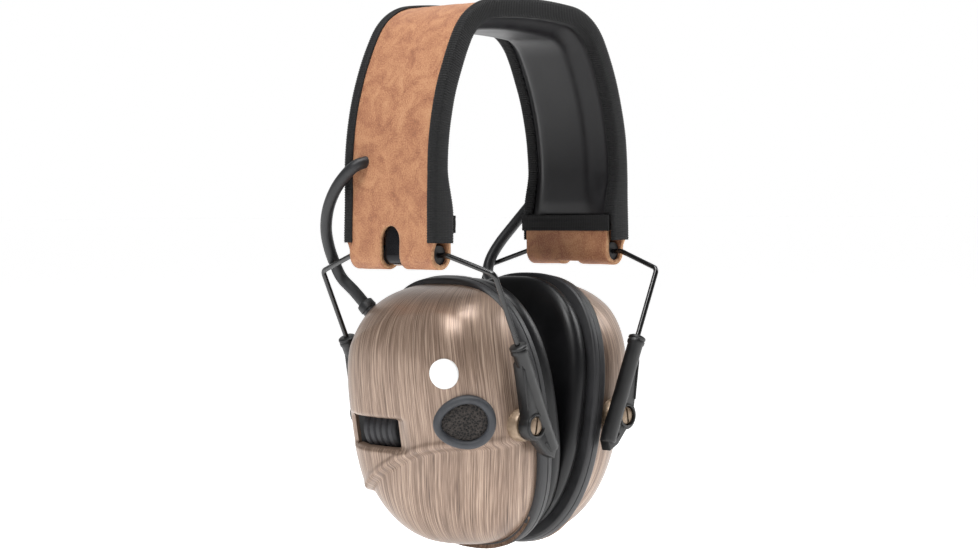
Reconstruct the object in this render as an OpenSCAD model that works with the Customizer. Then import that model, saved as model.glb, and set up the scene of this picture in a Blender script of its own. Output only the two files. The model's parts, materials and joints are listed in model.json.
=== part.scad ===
// Folding electronic earmuff: a padded leather headband, two wire yokes in its ends,
// telescopic arms on the yoke legs and two ear cups that swivel between the arms.
// Origin: middle of the crown's underside. +X is the wearer's left, -Y the front, +Z up.

/* [Headband arch] */
// Radius of the flat crown, outer face
crown_r = 200; // [150:5:300]
// Angle the crown turns through on each side of the middle
crown_turn = 6.5; // [4:0.5:9]
// Radius of the bend between crown and side
shoulder_r = 25; // [20:1:36]
// Angle the shoulder bend turns through
shoulder_turn = 53.5; // [48:0.5:56]
// Radius of the long curve down each side
side_r = 105; // [85:5:130]
// Angle the side curve turns through
side_turn = 29; // [26:0.5:32]
// Straight length at each end of the band
leg_l = 31.5; // [26:0.5:40]

/* [Headband layers] */
// Width of the leather strip
leather_w = 46; // [38:1:56]
// Thickness of the leather
leather_t = 1.8; // [1.2:0.1:2.4]
// Thickness of the spring steel strip
strip_t = 0.8; // [0.5:0.1:1.2]
// Width of the spring steel strip
strip_w = 18; // [12:1:24]
// Thickness of the foam pad under the leather
foam_t = 5.6; // [4:0.2:8]
// Thickness of the lining
liner_t = 0.8; // [0.5:0.1:1.2]
// Width of binding tape that laps over each face
binding_lap = 3.5; // [2.5:0.1:5]
// Thickness of the binding tape
binding_t = 0.7; // [0.4:0.1:1]
// Height of the woven tape across each end of the lining
end_tape_h = 5.6; // [4:0.2:8]
// Height of the lining's lower edge over the yoke pivot
liner_end = 8.5; // [7:0.5:14]
// Width of the slot in the leather that shows the hinge knuckle
slot_w = 9; // [7:0.5:12]
// Height of that slot over the yoke pivot
slot_h = 10; // [6:0.5:12]

/* [Yokes] */
// Diameter of the yoke wire
wire_d = 2; // [1.6:0.1:2.6]
// Distance from the side of a cup's back plate to the middle of the yoke's leg
yoke_clear = 4; // [3.6:0.1:7]
// Drop of the yoke's shoulders below its pivot
yoke_drop = 7.3; // [5:0.1:10]
// Inside radius of the wire bends
wire_bend = 3; // [2:0.5:5]
// Length of wire leg inside an arm
leg_in_arm = 33; // [28:1:34]

/* [Arms] */
// Outside diameter of an arm's tube
arm_d = 6; // [5.4:0.1:6.4]
// Distance from the yoke pivot down to the top of the arm tubes
arm_top = 36; // [30:1:42]
// Distance from the yoke pivot down to the cup pins
pin_down = 66.8; // [60:0.2:74]
// Length of an arm's tube
arm_l = 44; // [42:1:48]
// Depth of the bore in an arm's tube
arm_bore_l = 42; // [40:0.5:42]
// Radius of the lug round each pin
lug_r = 5.2; // [5:0.1:6]
// Thickness of the lug
lug_t = 4.6; // [4:0.1:5]

/* [Cups] */
// Height of the cup's back plate
cup_h = 106; // [88:1:116]
// Width of the cup's back plate
cup_w = 81; // [68:1:82]
// Depth of the shell from the back plate to its outer face
shell_depth = 31; // [26:0.5:38]
// Inward lean of the cups with the band at rest
cup_tilt = 9.5; // [6:0.5:12]
// Wall of the shell
shell_wall = 2.2; // [1.6:0.1:2.8]
// Edge of the back plate standing proud round the shell
plate_lip = 2.3; // [1.5:0.1:3.5]
// Thickness of the back plate
plate_t = 6.5; // [5:0.1:8]
// Clear distance from the middle plane to the back plate's lower edge
plate_gap = 3.8; // [3:0.1:8]
// Thickness of the ear cushion
cushion_t = 8; // [6:0.5:12]
// Width of the ear opening
ear_w = 42; // [36:1:50]
// Height of the ear opening
ear_h = 62; // [52:1:72]
// Distance of the pins from the back plate, towards the outer face
pin_from_plate = 7.7; // [6:0.1:12]
// Radius of the pin
pin_r = 2.6; // [2:0.1:3]
// Radius of the pin's head
pin_head_r = 3.5; // [3.2:0.1:3.8]

/* [Electronics] */
// Diameter of the volume roller
knob_d = 18; // [14:1:20]
// Length of the volume roller
knob_l = 17; // [12:1:18]
// Diameter of a loudspeaker
speaker_d = 32; // [26:1:36]
// Diameter of a battery
battery_d = 10.4; // [10:0.1:10.6]
// Length of a battery
battery_l = 44.2; // [43:0.1:45]
// Width of the battery door
door_w = 27; // [26:0.5:28]
// Height of the battery door
door_h = 34; // [30:1:36]
// Radius of the plug hole in the audio socket
jack_r = 1.8; // [1.75:0.01:1.9]
// Depth of the plug hole
jack_depth = 14; // [13:1:16]
// Diameter of the lead between cup and headband
lead_d = 4.5; // [3.5:0.1:5]

/* [Fits] */
// Radial clearance of a running fit
run_fit = 0.05; // [0.02:0.01:0.1]
// Gap between soft parts and their neighbours
soft_gap = 0.3; // [0.2:0.05:0.5]
// Gap round a door, window or inset piece
panel_gap = 0.4; // [0.3:0.05:0.6]

/* [Hidden] */
$fn = 48;
SIDES = ["right", "left"];

pad_t = strip_t + foam_t + liner_t;
band_t = leather_t + pad_t;
wire_r = wire_d / 2;

// The arch is three arcs and a straight leg. TURNS holds the direction at each arc's start and end.
TURNS = [0, crown_turn, crown_turn + shoulder_turn, crown_turn + shoulder_turn + side_turn];
RADII = [crown_r, shoulder_r, side_r];
STEPS = [4, 12, 10];

// End of arc k on the outer face, from the top of the crown
function arc_end(k) = k < 0 ? [0, band_t] : arc_end(k - 1) + RADII[k]
    * [sin(TURNS[k + 1]) - sin(TURNS[k]), cos(TURNS[k + 1]) - cos(TURNS[k])];
// Point on arc k at turn a, moved a depth d into the band
function arc_point(k, a, d) = arc_end(k - 1) + RADII[k]
    * [sin(a) - sin(TURNS[k]), cos(a) - cos(TURNS[k])] - d * [sin(a), cos(a)];
leg_dir = [cos(TURNS[3]), -sin(TURNS[3])];
leg_out = [sin(TURNS[3]), cos(TURNS[3])];
// Half of the arch at depth d, ending a distance `up` above the pivot
function half_arch(d, up) = concat(
    [for (k = [0:2]) for (i = [0:STEPS[k] - 1])
        arc_point(k, TURNS[k] + (TURNS[k + 1] - TURNS[k]) * i / STEPS[k], d)],
    [arc_end(2) - d * leg_out, arc_end(2) + (leg_l - up) * leg_dir - d * leg_out]);
function flip_x(points) = [for (i = [len(points) - 1:-1:1]) [-points[i][0], points[i][1]]];
function arch(d, up) = concat(flip_x(half_arch(d, up)), half_arch(d, up));
function reversed(points) = [for (i = [len(points) - 1:-1:0]) points[i]];

// Yoke pivot: the middle of the loop that the leather makes round the hinge sleeve
sleeve_r = pad_t / 2;
loop_r = sleeve_r + leather_t;
pivot = arc_end(2) + leg_l * leg_dir - loop_r * leg_out;

// Arms: the bore for the leg, a wall, and the counterbore for the pin's head lie side by side
bore_r = wire_r + run_fit;
eye_wall = 0.45;
eye_fit = 0.2;
eye_depth = 1.8;
pin_out = bore_r + eye_wall + eye_fit + pin_head_r;

// Cups: the back plates' lower edges set the place of the cups, and the pins follow
rim_x = plate_gap + plate_t / cos(cup_tilt) + cup_h / 2 * sin(cup_tilt);
pin_x = rim_x + pin_from_plate * cos(cup_tilt);
// The yoke leans in until the cups meet
reach = norm([pin_down, pin_out]);
lean = acos((pin_x - pivot[0]) / reach) - atan2(pin_down, pin_out);
pin_z = pivot[1] - pin_down * cos(lean) - pin_out * sin(lean);
rim_z = pin_z + pin_from_plate * sin(cup_tilt);

shell_a = cup_w / 2 - plate_lip;
shell_b = cup_h / 2 - plate_lip;
face_scale = 0.55;

// Oval of half width a and half height b with flattened sides
OVAL_N = 2.5;
function power(x) = sign(x) * pow(abs(x), 2 / OVAL_N);
function oval(a, b, n = 48) = [for (i = [0:n - 1]) [a * power(cos(360 * i / n)),
    b * power(sin(360 * i / n))]];
// Height of the domed face over the rim at a point (y, v)
DOME_N = 3;
function reach_out(y, v) = pow(pow(abs(y) / shell_a, OVAL_N) + pow(abs(v) / shell_b, OVAL_N),
    1 / OVAL_N);
function dome(y, v) = shell_depth * pow(1 - pow(min(reach_out(y, v), 1), DOME_N), 1 / DOME_N);
// Share of the rim's size at height w
function shrink(w) = pow(1 - pow(w / shell_depth, DOME_N), 1 / DOME_N);

// Places of the face pieces, as [y, v] on the cup
mic_at = [9.2 - shell_a, 5];
mic_turn = 40;
mic_r = 10.4;
mic_point = 2.4;
mic_flat = 0.4;
mic_rim = 3;
mic_floor = 0.7;
bezel_proud = 2.7;
bezel_in = 2.4;
bezel_fit = 0.1;
capsule_r = 3.1;
stem_r = 4.1;
badge_at = [16.2 - shell_a, 23];
badge_turn = 22;
badge_r = 5.6;
badge_in = 0.9;
knob_at = [shell_a - 22.4, -1];
knob_depth = 2.6;
knob_w = shell_depth - knob_d / 2 - knob_depth;
knob_stub_r = 1.6;
window_h = 11.5;
window_y = [-knob_l / 2 - 3.2, knob_l / 2 + 5.2];
cheek_r = 3.6;
door_at = [0, 3];
jack_at = [12, -17];
screw_at = [cup_w / 2 - 20.5, cup_h / 2 - 20];
screw_r = 1.5;
screw_boss_r = 3.4;
screw_head_r = 3;

// The lead's gland stands on the shell's side, at this height over the rim and angle round it
gland_w = 11;
gland_angle = 48.7;
gland_turn = [-37, 12, 0];
gland_l = 7;
gland_r = 3;
gland_at = [gland_w, shrink(gland_w) * shell_a * power(cos(gland_angle)),
    shrink(gland_w) * shell_b * power(sin(gland_angle))];

arm_y = cup_w / 2 + yoke_clear;
lug_in = arm_y - arm_d / 2 + 0.1;
lug_out = lug_in + lug_t;
foam_pad_t = 4.5;
pcb_t = 1.6;
board_w = knob_w - cheek_r - 0.2 - pcb_t;
basket_w = 2;
magnet_top = min(board_w - 3, knob_w - knob_d / 2 - 1);

// Route of the jumper lead on the left, from the hole in the leather to the cup's gland
LEAD_EXIT = [13, -52];
LEAD_ROUTE = [[54, 13, -52], [58.6, 14.5, -53.5], [59.8, 19, -57], [59.4, 25, -62.5],
    [57.4, 31, -69.5], [53.8, 36, -77], [49.2, 39.3, -84], [44.9, 40.6, -90.6],
    [42.2, 39.6, -96.2], [40.46, 35.02, -100.93], [38.7, 31.41, -105.39]];
BAND_LEAD_D = 2.6;

// Cross-section plane k of a swept tube: ring of points round p, square to direction t
function unit(v) = v / norm(v);
function tangent(p, i) = unit(p[min(i + 1, len(p) - 1)] - p[max(i - 1, 0)]);
function ring(p, t, r, n) = let (a = unit(cross(t, [0, 0.35, 1])), b = cross(t, a))
    [for (k = [0:n - 1]) p + r * (a * cos(360 * k / n) + b * sin(360 * k / n))];
module tube(path, r, n) {
    m = len(path);
    polyhedron(
        points = [for (i = [0:m - 1]) each ring(path[i], tangent(path, i), r, n)],
        faces = concat(
            [[for (k = [0:n - 1]) k]],
            [for (i = [0:m - 2]) for (k = [0:n - 1]) each let (next = (k + 1) % n)
                [[i * n + k, (i + 1) * n + k, (i + 1) * n + next],
                 [i * n + k, (i + 1) * n + next, i * n + next]]],
            [[for (k = [n - 1:-1:0]) (m - 1) * n + k]]));
}

// Wire bent in the YZ plane through the points of a path, each bend made of BEND_STEPS chords
BEND_STEPS = 3;
function turn_of(p) = atan2(p[1], p[0]);
// Points of the arc that rounds corner i of a path to a bend radius
function bend_arc(path, i, bend) = let (
    into = turn_of(path[i] - path[i - 1]),
    turn = turn_of(path[i + 1] - path[i]) - into,
    s = sign(turn),
    start = path[i] - bend * tan(abs(turn) / 2) * [cos(into), sin(into)],
    centre = start + s * bend * [-sin(into), cos(into)])
    [for (k = [0:BEND_STEPS]) centre
        + s * bend * [sin(into + turn * k / BEND_STEPS), -cos(into + turn * k / BEND_STEPS)]];
module bent_wire(path, r, bend) {
    n = len(path);
    points = concat([path[0]], [for (i = [1:n - 2]) each bend_arc(path, i, bend)], [path[n - 1]]);
    knuckle = 1.03;
    for (i = [0:len(points) - 2]) {
        along = points[i + 1] - points[i];
        translate([0, points[i][0], points[i][1]]) rotate([turn_of(along) - 90, 0, 0])
            cylinder(h = norm(along), r = r);
        if (i > 0) translate([0, points[i][0], points[i][1]]) sphere(r * knuckle);
    }
}

// Frames: mirrored sides, a yoke's own frame and a cup's own frame
module on_side(s) { mirror([s == "right" ? 1 : 0, 0, 0]) children(); }
module in_leg(s) { on_side(s) translate([pivot[0], 0, pivot[1]]) rotate([0, TURNS[3] - 90, 0]) children(); }
module in_yoke(s) { on_side(s) translate([pivot[0], 0, pivot[1]]) rotate([0, lean, 0]) children(); }
module in_cup(s) { on_side(s) translate([rim_x, 0, rim_z]) rotate([0, cup_tilt, 0]) children(); }
// Flat piece between heights w0 and w1 over the cup's rim plane, from an outline in (y, v)
module slab(w0, w1) { translate([w0, 0, 0]) rotate([90, 0, 90]) linear_extrude(w1 - w0) children(); }
module along_y(y0, y1) { translate([0, y1, 0]) rotate([90, 0, 0]) linear_extrude(y1 - y0) children(); }
module rod_y(y0, y1, r) { translate([0, y0, 0]) rotate([-90, 0, 0]) cylinder(h = y1 - y0, r = r); }
module rod_x(x0, x1, r) { translate([x0, 0, 0]) rotate([0, 90, 0]) cylinder(h = x1 - x0, r = r); }

// Layer of the band between depths d0 and d1 and from y0 to y1
module layer(d0, d1, y0, y1, up) {
    along_y(y0, y1) polygon(concat(arch(d0, up), reversed(arch(d1, up))));
}

// ---- Headband
// The strip narrows a little where it turns round the hinge sleeve
loop_half = leather_w / 2 - 2;
loop_seam = 0.15;
module headband_leather() color("#c48e66") difference() {
    union() {
        layer(0, leather_t, -leather_w / 2, leather_w / 2, 0);
        for (s = SIDES) in_leg(s) {
            difference() {
                rod_y(-loop_half, loop_half, loop_r);
                rod_y(-leather_w, leather_w, sleeve_r);
                translate([-2 * loop_r, -leather_w, loop_seam])
                    cube([4 * loop_r, 2 * leather_w, 2 * loop_r]);
            }
            translate([-loop_r, -loop_half, 0])
                cube([leather_t, 2 * loop_half, liner_end + end_tape_h - 1]);
        }
    }
    for (s = SIDES) {
        in_leg(s) translate([-sleeve_r, -slot_w / 2, -2 * loop_r])
            cube([3 * loop_r, slot_w, 2 * loop_r + slot_h]);
        on_side(s) translate([0, LEAD_EXIT[0], LEAD_EXIT[1]])
            rod_x(pivot[0], pivot[0] + 2 * loop_r, lead_d / 2 + 2 * soft_gap);
    }
}

module spring_strip() color("#2a2a2c") difference() {
    union() {
        layer(leather_t, leather_t + strip_t, -strip_w / 2, strip_w / 2, liner_end);
        layer(leather_t, leather_t + strip_t, -slot_w / 2 + 0.6, slot_w / 2 - 0.6, 0);
        for (s = SIDES) on_side(s) translate([pivot[0], 0, pivot[1]])
            rod_y(-slot_w / 2 + 0.6, slot_w / 2 - 0.6, sleeve_r);
    }
    for (s = SIDES) on_side(s) translate([pivot[0], 0, pivot[1]])
        rod_y(-slot_w, slot_w, wire_r + run_fit);
}

module headband_foam() color("#3a3a3a") difference() {
    layer(leather_t, leather_t + strip_t + foam_t, -leather_w / 2, leather_w / 2, liner_end);
    layer(leather_t - 1, leather_t + strip_t, -strip_w / 2, strip_w / 2, liner_end - 1);
    layer(leather_t - 1, leather_t + BAND_LEAD_D + soft_gap,
        LEAD_EXIT[0] - BAND_LEAD_D / 2 - soft_gap, LEAD_EXIT[0] + BAND_LEAD_D / 2 + soft_gap,
        liner_end - 1);
}

module headband_liner() color("#18181a")
    layer(leather_t + strip_t + foam_t, band_t, -leather_w / 2, leather_w / 2, liner_end);

module binding(y_edge, toward) color("#1c1c1c") {
    lap = [y_edge, y_edge + toward * binding_lap];
    wall = [y_edge, y_edge - toward * binding_t];
    layer(-binding_t, 0, min(lap), max(lap), liner_end - 4);
    layer(band_t, band_t + binding_t, min(lap), max(lap), liner_end + end_tape_h);
    layer(-binding_t, band_t + binding_t, min(wall), max(wall), liner_end + end_tape_h);
}
module binding_front() { binding(-leather_w / 2, 1); }
module binding_rear() { binding(leather_w / 2, -1); }

// Lead inside the band, in the foam's groove. It ends at the holes for the jumper leads.
band_lead_depth = leather_t + BAND_LEAD_D / 2;
band_lead_end = min(LEAD_EXIT[1] - 2 - pivot[1], leg_l - 1);
module band_lead() color("#161616") {
    middle = arch(band_lead_depth, band_lead_end);
    tube([for (p = middle) [p[0], LEAD_EXIT[0], p[1]]], BAND_LEAD_D / 2, 8);
}

module end_tape(s) color("#1c1c1c") in_leg(s)
    translate([-loop_r - binding_t, -leather_w / 2, liner_end])
        cube([binding_t, leather_w, end_tape_h]);

module hinge_sleeve(s) color("#202022") on_side(s) translate([pivot[0], 0, pivot[1]])
    for (side = [-1, 1]) difference() {
        inner = slot_w / 2;
        outer = leather_w / 2 - 3;
        rod_y(min(side * inner, side * outer), max(side * inner, side * outer), sleeve_r);
        rod_y(-leather_w, leather_w, wire_r + run_fit);
    }

module jumper_lead(s) color("#161616") on_side(s) tube(LEAD_ROUTE, lead_d / 2, 8);

// ---- Yokes and arms
module yoke_wire(s) color("#101010") in_yoke(s) {
    exit_y = leather_w / 2 + 1.5;
    foot = -arm_top - leg_in_arm;
    bent_wire([[-arm_y, foot], [-arm_y, -yoke_drop], [-exit_y, 0], [exit_y, 0],
        [arm_y, -yoke_drop], [arm_y, foot]], wire_r, wire_bend);
}

// An arm: a tube on the yoke leg, a web and a lug with an eye for the cup's pin
module arm(s, y_dir) color("#161617") in_yoke(s) difference() {
    tube_y = y_dir * arm_y;
    lug_y = [y_dir * lug_in, y_dir * lug_out];
    union() {
        translate([0, tube_y, -arm_top - arm_l]) cylinder(h = arm_l, r = arm_d / 2);
        translate([0, tube_y, -arm_top - 3]) cylinder(h = 3, r = arm_d / 2 + 0.4);
        translate([pin_out, 0, -pin_down]) rod_y(min(lug_y), max(lug_y), lug_r);
        along_y(min(lug_y), max(lug_y)) polygon([[0, -arm_top - 7], [2.8, -arm_top - 8],
            [pin_out + lug_r * 0.94, -pin_down + lug_r * 0.34], [pin_out, -pin_down],
            [pin_out + 1.5, -pin_down - lug_r * 0.96], [1, -arm_top - arm_l + 1],
            [0, -arm_top - arm_l + 1]]);
    }
    translate([0, tube_y, -arm_top - arm_bore_l]) cylinder(h = arm_bore_l + 2, r = bore_r);
    translate([pin_out, 0, -pin_down]) mirror([0, y_dir < 0 ? 1 : 0, 0]) {
        rod_y(0, cup_w, pin_r + run_fit);
        rod_y(lug_out - eye_depth, cup_w, pin_head_r + eye_fit);
    }
}

// ---- Cup shells and plates
module cup_outline(inset) { polygon(oval(cup_w / 2 - inset, cup_h / 2 - inset)); }
module shell_outline(share, inset) {
    polygon(oval(shell_a * share - inset, shell_b * share - inset));
}
// Solid dome of the shell, moved in by a wall on every side but the rim
module dome_solid(wall) {
    top = shell_depth - wall;
    hull() {
        slab(0, 0.5) shell_outline(1, wall);
        for (share = [0.35, 0.6, 0.8, 0.93]) slab(share * top - 0.01, share * top)
            shell_outline(shrink(share * shell_depth), wall);
        slab(top - 0.5, top) shell_outline(face_scale, wall);
    }
}
module screw_places() {
    for (y = [-1, 1]) for (v = [-1, 1]) translate([0, y * screw_at[0], v * screw_at[1]]) children();
}
module at_face(place, turn) {
    translate([dome(place[0], place[1]), place[0], place[1]]) rotate([0, 0, -turn]) children();
}
module gland_place() { translate(gland_at) rotate(gland_turn) children(); }
// Egg shape of the microphone's bezel, pointed on one side
module mic_outline(grow) {
    polygon([for (a = [0:10:350]) [-(mic_r + mic_point * max(-cos(a), 0) + grow) * cos(a),
        (mic_r - mic_flat + grow) * sin(a)]]);
}
module door_outline(grow) {
    translate(door_at) square([door_w + 2 * grow, door_h + 2 * grow], center = true);
}
// Pin, its boss on the shell and its slotted snap head
module cup_pin(y_dir) {
    boss_y = shell_a - 3;
    head_in = lug_out - eye_depth + run_fit;
    slit = 0.9;
    translate([pin_from_plate, 0, 0]) mirror([0, y_dir < 0 ? 1 : 0, 0]) {
        rod_y(boss_y, lug_in - 0.2, lug_r + 0.4);
        rod_y(lug_in - 0.3, head_in + 0.1, pin_r);
        difference() {
            rod_y(head_in, head_in + 1.5, pin_head_r);
            translate([-slit / 2, head_in + 0.7, -pin_head_r - 1]) cube([slit, 2, 2 * pin_head_r + 2]);
        }
    }
}

module shell(s) color("#a08a7c") in_cup(s) {
    difference() {
        union() {
            dome_solid(0);
            for (y_dir = [-1, 1]) cup_pin(y_dir);
        }
        difference() {
            translate([-0.5, 0, 0]) dome_solid(shell_wall);
            screw_places() rod_x(-1, dome(screw_at[0], screw_at[1]), screw_boss_r);
        }
        screw_places() rod_x(-1, 9, screw_r);
        gland_place() translate([0, 0, -gland_l]) cylinder(h = 2 * gland_l, r = gland_r - 0.5);
        at_face(mic_at, mic_turn) slab(-bezel_in - panel_gap, 12) mic_outline(bezel_fit);
        at_face(mic_at, mic_turn) rod_x(-8, 8, stem_r + bezel_fit);
        at_face(badge_at, badge_turn) rod_x(-badge_in, 3, badge_r + bezel_fit);
        if (s == "right") translate([knob_w, knob_at[0], knob_at[1]]) {
            translate([-knob_d / 2, window_y[0], -window_h / 2])
                cube([shell_depth, window_y[1] - window_y[0], window_h]);
            rod_y(-knob_l / 2 - panel_gap, knob_l / 2 + panel_gap, knob_d / 2 + panel_gap);
        }
        if (s == "left") {
            slab(shell_depth - shell_wall - 2, shell_depth + 1) door_outline(panel_gap);
            door_axis() rod_y(-door_w / 2 - 2.3, door_w / 2 + 2.3, door_pin_r + run_fit);
            translate([jack_at[0], 0, jack_at[1]]) rod_y(10, 60, 3.4 + run_fit);
        }
    }
}

module back_plate(s) color("#3c3c3e") in_cup(s) difference() {
    slab(-plate_t, 0) cup_outline(0);
    slab(-plate_t - 1, 1) polygon(oval(ear_w / 2 - 1, ear_h / 2 - 1));
    screw_places() rod_x(-plate_t - 1, 1, screw_r + run_fit);
    screw_places() rod_x(-plate_t - 1, -plate_t + 2, screw_head_r + run_fit);
}

module plate_screws(s) color("#8a8a8e") in_cup(s) screw_places() {
    rod_x(-plate_t + 0.2, -plate_t + 2, screw_head_r);
    rod_x(-plate_t + 1.9, 7, screw_r);
}

module cushion_frame(s) color("#202022") in_cup(s) difference() {
    slab(-plate_t - 1.2, -plate_t) cup_outline(4);
    slab(-plate_t - 2, 0) polygon(oval(ear_w / 2 - 0.5, ear_h / 2 - 0.5));
}

// The cushions press flat on each other where they meet, at the middle plane
module cushion(s) color("#141415") difference() {
    in_cup(s) difference() {
        hull() {
            slab(-plate_t - 1.2 - cushion_t * 0.6, -plate_t - 1.2) cup_outline(2.5);
            slab(-plate_t - 1.2 - cushion_t, -plate_t - 1.3 - cushion_t * 0.6) cup_outline(6.5);
        }
        slab(-plate_t - 2 - cushion_t, 0) polygon(oval(ear_w / 2, ear_h / 2));
    }
    on_side(s) translate([-2 * cup_w, -cup_w, rim_z - cup_h])
        cube([2 * cup_w + soft_gap, 2 * cup_w, 2 * cup_h]);
}

module acoustic_foam(s) color("#2e2e30") in_cup(s)
    slab(-foam_pad_t - 0.2, -0.2) polygon(oval(ear_w / 2 - 1.3, ear_h / 2 - 1.3));

module speaker_plate(s) color("#262628") in_cup(s) difference() {
    slab(0.2, basket_w) polygon(oval(shell_a - shell_wall - 8, shell_b - shell_wall - 1));
    rod_x(-1, 3, speaker_d / 2 - 1.5);
    screw_places() rod_x(-1, 3, screw_boss_r + 0.3);
}

module speaker(s) color("#4a4a4c") in_cup(s) {
    waist = (basket_w + 2 + magnet_top) / 2;
    rod_x(basket_w, basket_w + 2, speaker_d / 2);
    rod_x(basket_w + 2, waist, speaker_d / 2 - 4);
    rod_x(waist, magnet_top, speaker_d / 4);
}

module mic_bezel(s) color("#4a4d52") in_cup(s) at_face(mic_at, mic_turn) difference() {
    union() {
        slab(-bezel_in, bezel_proud) mic_outline(0);
        rod_x(-5, 0, stem_r);
    }
    slab(mic_floor, bezel_proud + 1) mic_outline(-mic_rim);
    rod_x(-6, 2, capsule_r + bezel_fit);
}

module mic_foam(s) color("#1e1e20") in_cup(s) at_face(mic_at, mic_turn)
    slab(mic_floor, bezel_proud - 0.6) mic_outline(-mic_rim - bezel_fit);

module mic_capsule(s) color("#b8b8ba") in_cup(s) at_face(mic_at, mic_turn)
    rod_x(-4.4, mic_floor - 0.1, capsule_r);

module badge(s) color("#f2f2f0") in_cup(s) at_face(badge_at, badge_turn)
    rod_x(-badge_in + 0.1, 0.9, badge_r);

module lead_gland(s) color("#1a1a1b") in_cup(s) gland_place() difference() {
    union() {
        translate([0, 0, 0.4]) cylinder(h = gland_l - 0.4, r = gland_r);
        translate([0, 0, -4]) cylinder(h = 5, r = gland_r - 0.5 - run_fit);
    }
    translate([0, 0, -5]) cylinder(h = 3, r = gland_r / 2);
}

// ---- Volume control, in the right cup
module in_knob() { in_cup("right") translate([knob_w, knob_at[0], knob_at[1]]) children(); }
module volume_knob() color("#2c2c2e") in_knob() {
    rod_y(-knob_l / 2, knob_l / 2, knob_d / 2 - 0.6);
    for (i = [0:4]) rod_y(-knob_l / 2 + i * knob_l / 5 + 0.6, -knob_l / 2 + (i + 1) * knob_l / 5 - 0.6,
        knob_d / 2);
    rod_y(-knob_l / 2 - 4, knob_l / 2 + 3, knob_stub_r);
}
module knob_cheek(y0, y1) {
    difference() {
        union() {
            rod_y(y0, y1, cheek_r);
            translate([board_w + pcb_t - knob_w, y0, -cheek_r])
                cube([knob_w - board_w - pcb_t, y1 - y0, 2 * cheek_r]);
        }
        rod_y(y0 - 1, y1 + 1, knob_stub_r + run_fit);
    }
}
module potentiometer() color("#3a6a4a") in_knob() knob_cheek(-knob_l / 2 - 4.2, -knob_l / 2 - 1);
module knob_bracket() color("#2a2a2c") in_knob() knob_cheek(knob_l / 2 + 0.8, knob_l / 2 + 2.6);
module circuit_board() color("#1f5a34") in_cup("right") difference() {
    translate([board_w, -16, -22]) cube([pcb_t, shell_a + 5.8, 44]);
    translate([knob_w, knob_at[0], knob_at[1]]) rod_y(-knob_l / 2 - 1, knob_l / 2 + 0.5,
        knob_d / 2 + 0.5);
}

// ---- Battery compartment and audio socket, in the left cup
door_t = 2;
door_hinge_up = 3;
door_pin_r = 0.8;
module door_axis() {
    translate([shell_depth - door_t / 2, 0, door_at[1] - door_h / 2 + door_hinge_up]) children();
}
module battery_door() color("#a08a7c") in_cup("left") {
    slab(shell_depth - door_t, shell_depth) door_outline(0);
    door_axis() rod_y(-door_w / 2 - 2, door_w / 2 + 2, door_pin_r);
    translate([shell_depth - door_t - 1.2, -6, door_at[1] + door_h / 2 - 2.5]) cube([1.3, 12, 2]);
}
battery_w = shell_depth - shell_wall - battery_d / 2 - 3;
module batteries() color("#b0b4b8") in_cup("left") for (y = [-1, 1])
    translate([battery_w, y * (battery_d / 2 + 0.3), -battery_l / 2 + door_at[1]]) {
        cylinder(h = battery_l - 1, r = battery_d / 2);
        translate([0, 0, battery_l - 1]) cylinder(h = 1, r = 1.9);
    }
module battery_contacts() color("#c8c8c4") in_cup("left")
    for (z = [door_at[1] - battery_l / 2 - 0.8, door_at[1] + battery_l / 2 + 0.2])
        translate([battery_w - 4, -battery_d, z]) cube([8, 2 * battery_d, 0.6]);

jack_face = shell_a + 0.8;
module aux_jack() color("#1a1a1b") in_cup("left") translate([jack_at[0], 0, jack_at[1]]) difference() {
    rod_y(jack_face - jack_depth - 2, jack_face, 3.4);
    rod_y(jack_face - jack_depth, jack_face + 1, jack_r);
}

headband_leather();
spring_strip();
headband_foam();
headband_liner();
binding_front();
binding_rear();
band_lead();
volume_knob();
potentiometer();
knob_bracket();
circuit_board();
battery_door();
batteries();
battery_contacts();
aux_jack();
for (s = SIDES) {
    end_tape(s);
    hinge_sleeve(s);
    jumper_lead(s);
    yoke_wire(s);
    arm(s, -1);
    arm(s, 1);
    shell(s);
    back_plate(s);
    cushion_frame(s);
    cushion(s);
    acoustic_foam(s);
    speaker_plate(s);
    speaker(s);
    plate_screws(s);
    mic_bezel(s);
    mic_foam(s);
    mic_capsule(s);
    badge(s);
    lead_gland(s);
}
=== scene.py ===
"""Looks of an electronic earmuff: a leather headband, two wire yokes, four arms and two ear cups.

Sizes are in millimetres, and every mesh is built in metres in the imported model's own frame:
+X is the wearer's left, -Y the front, +Z up.
"""
import json
import logging
import math
from dataclasses import dataclass
from enum import Enum
from typing import Callable, Iterable, Optional, Sequence

import bmesh
import bpy
from mathutils import Matrix, Vector, noise


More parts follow.
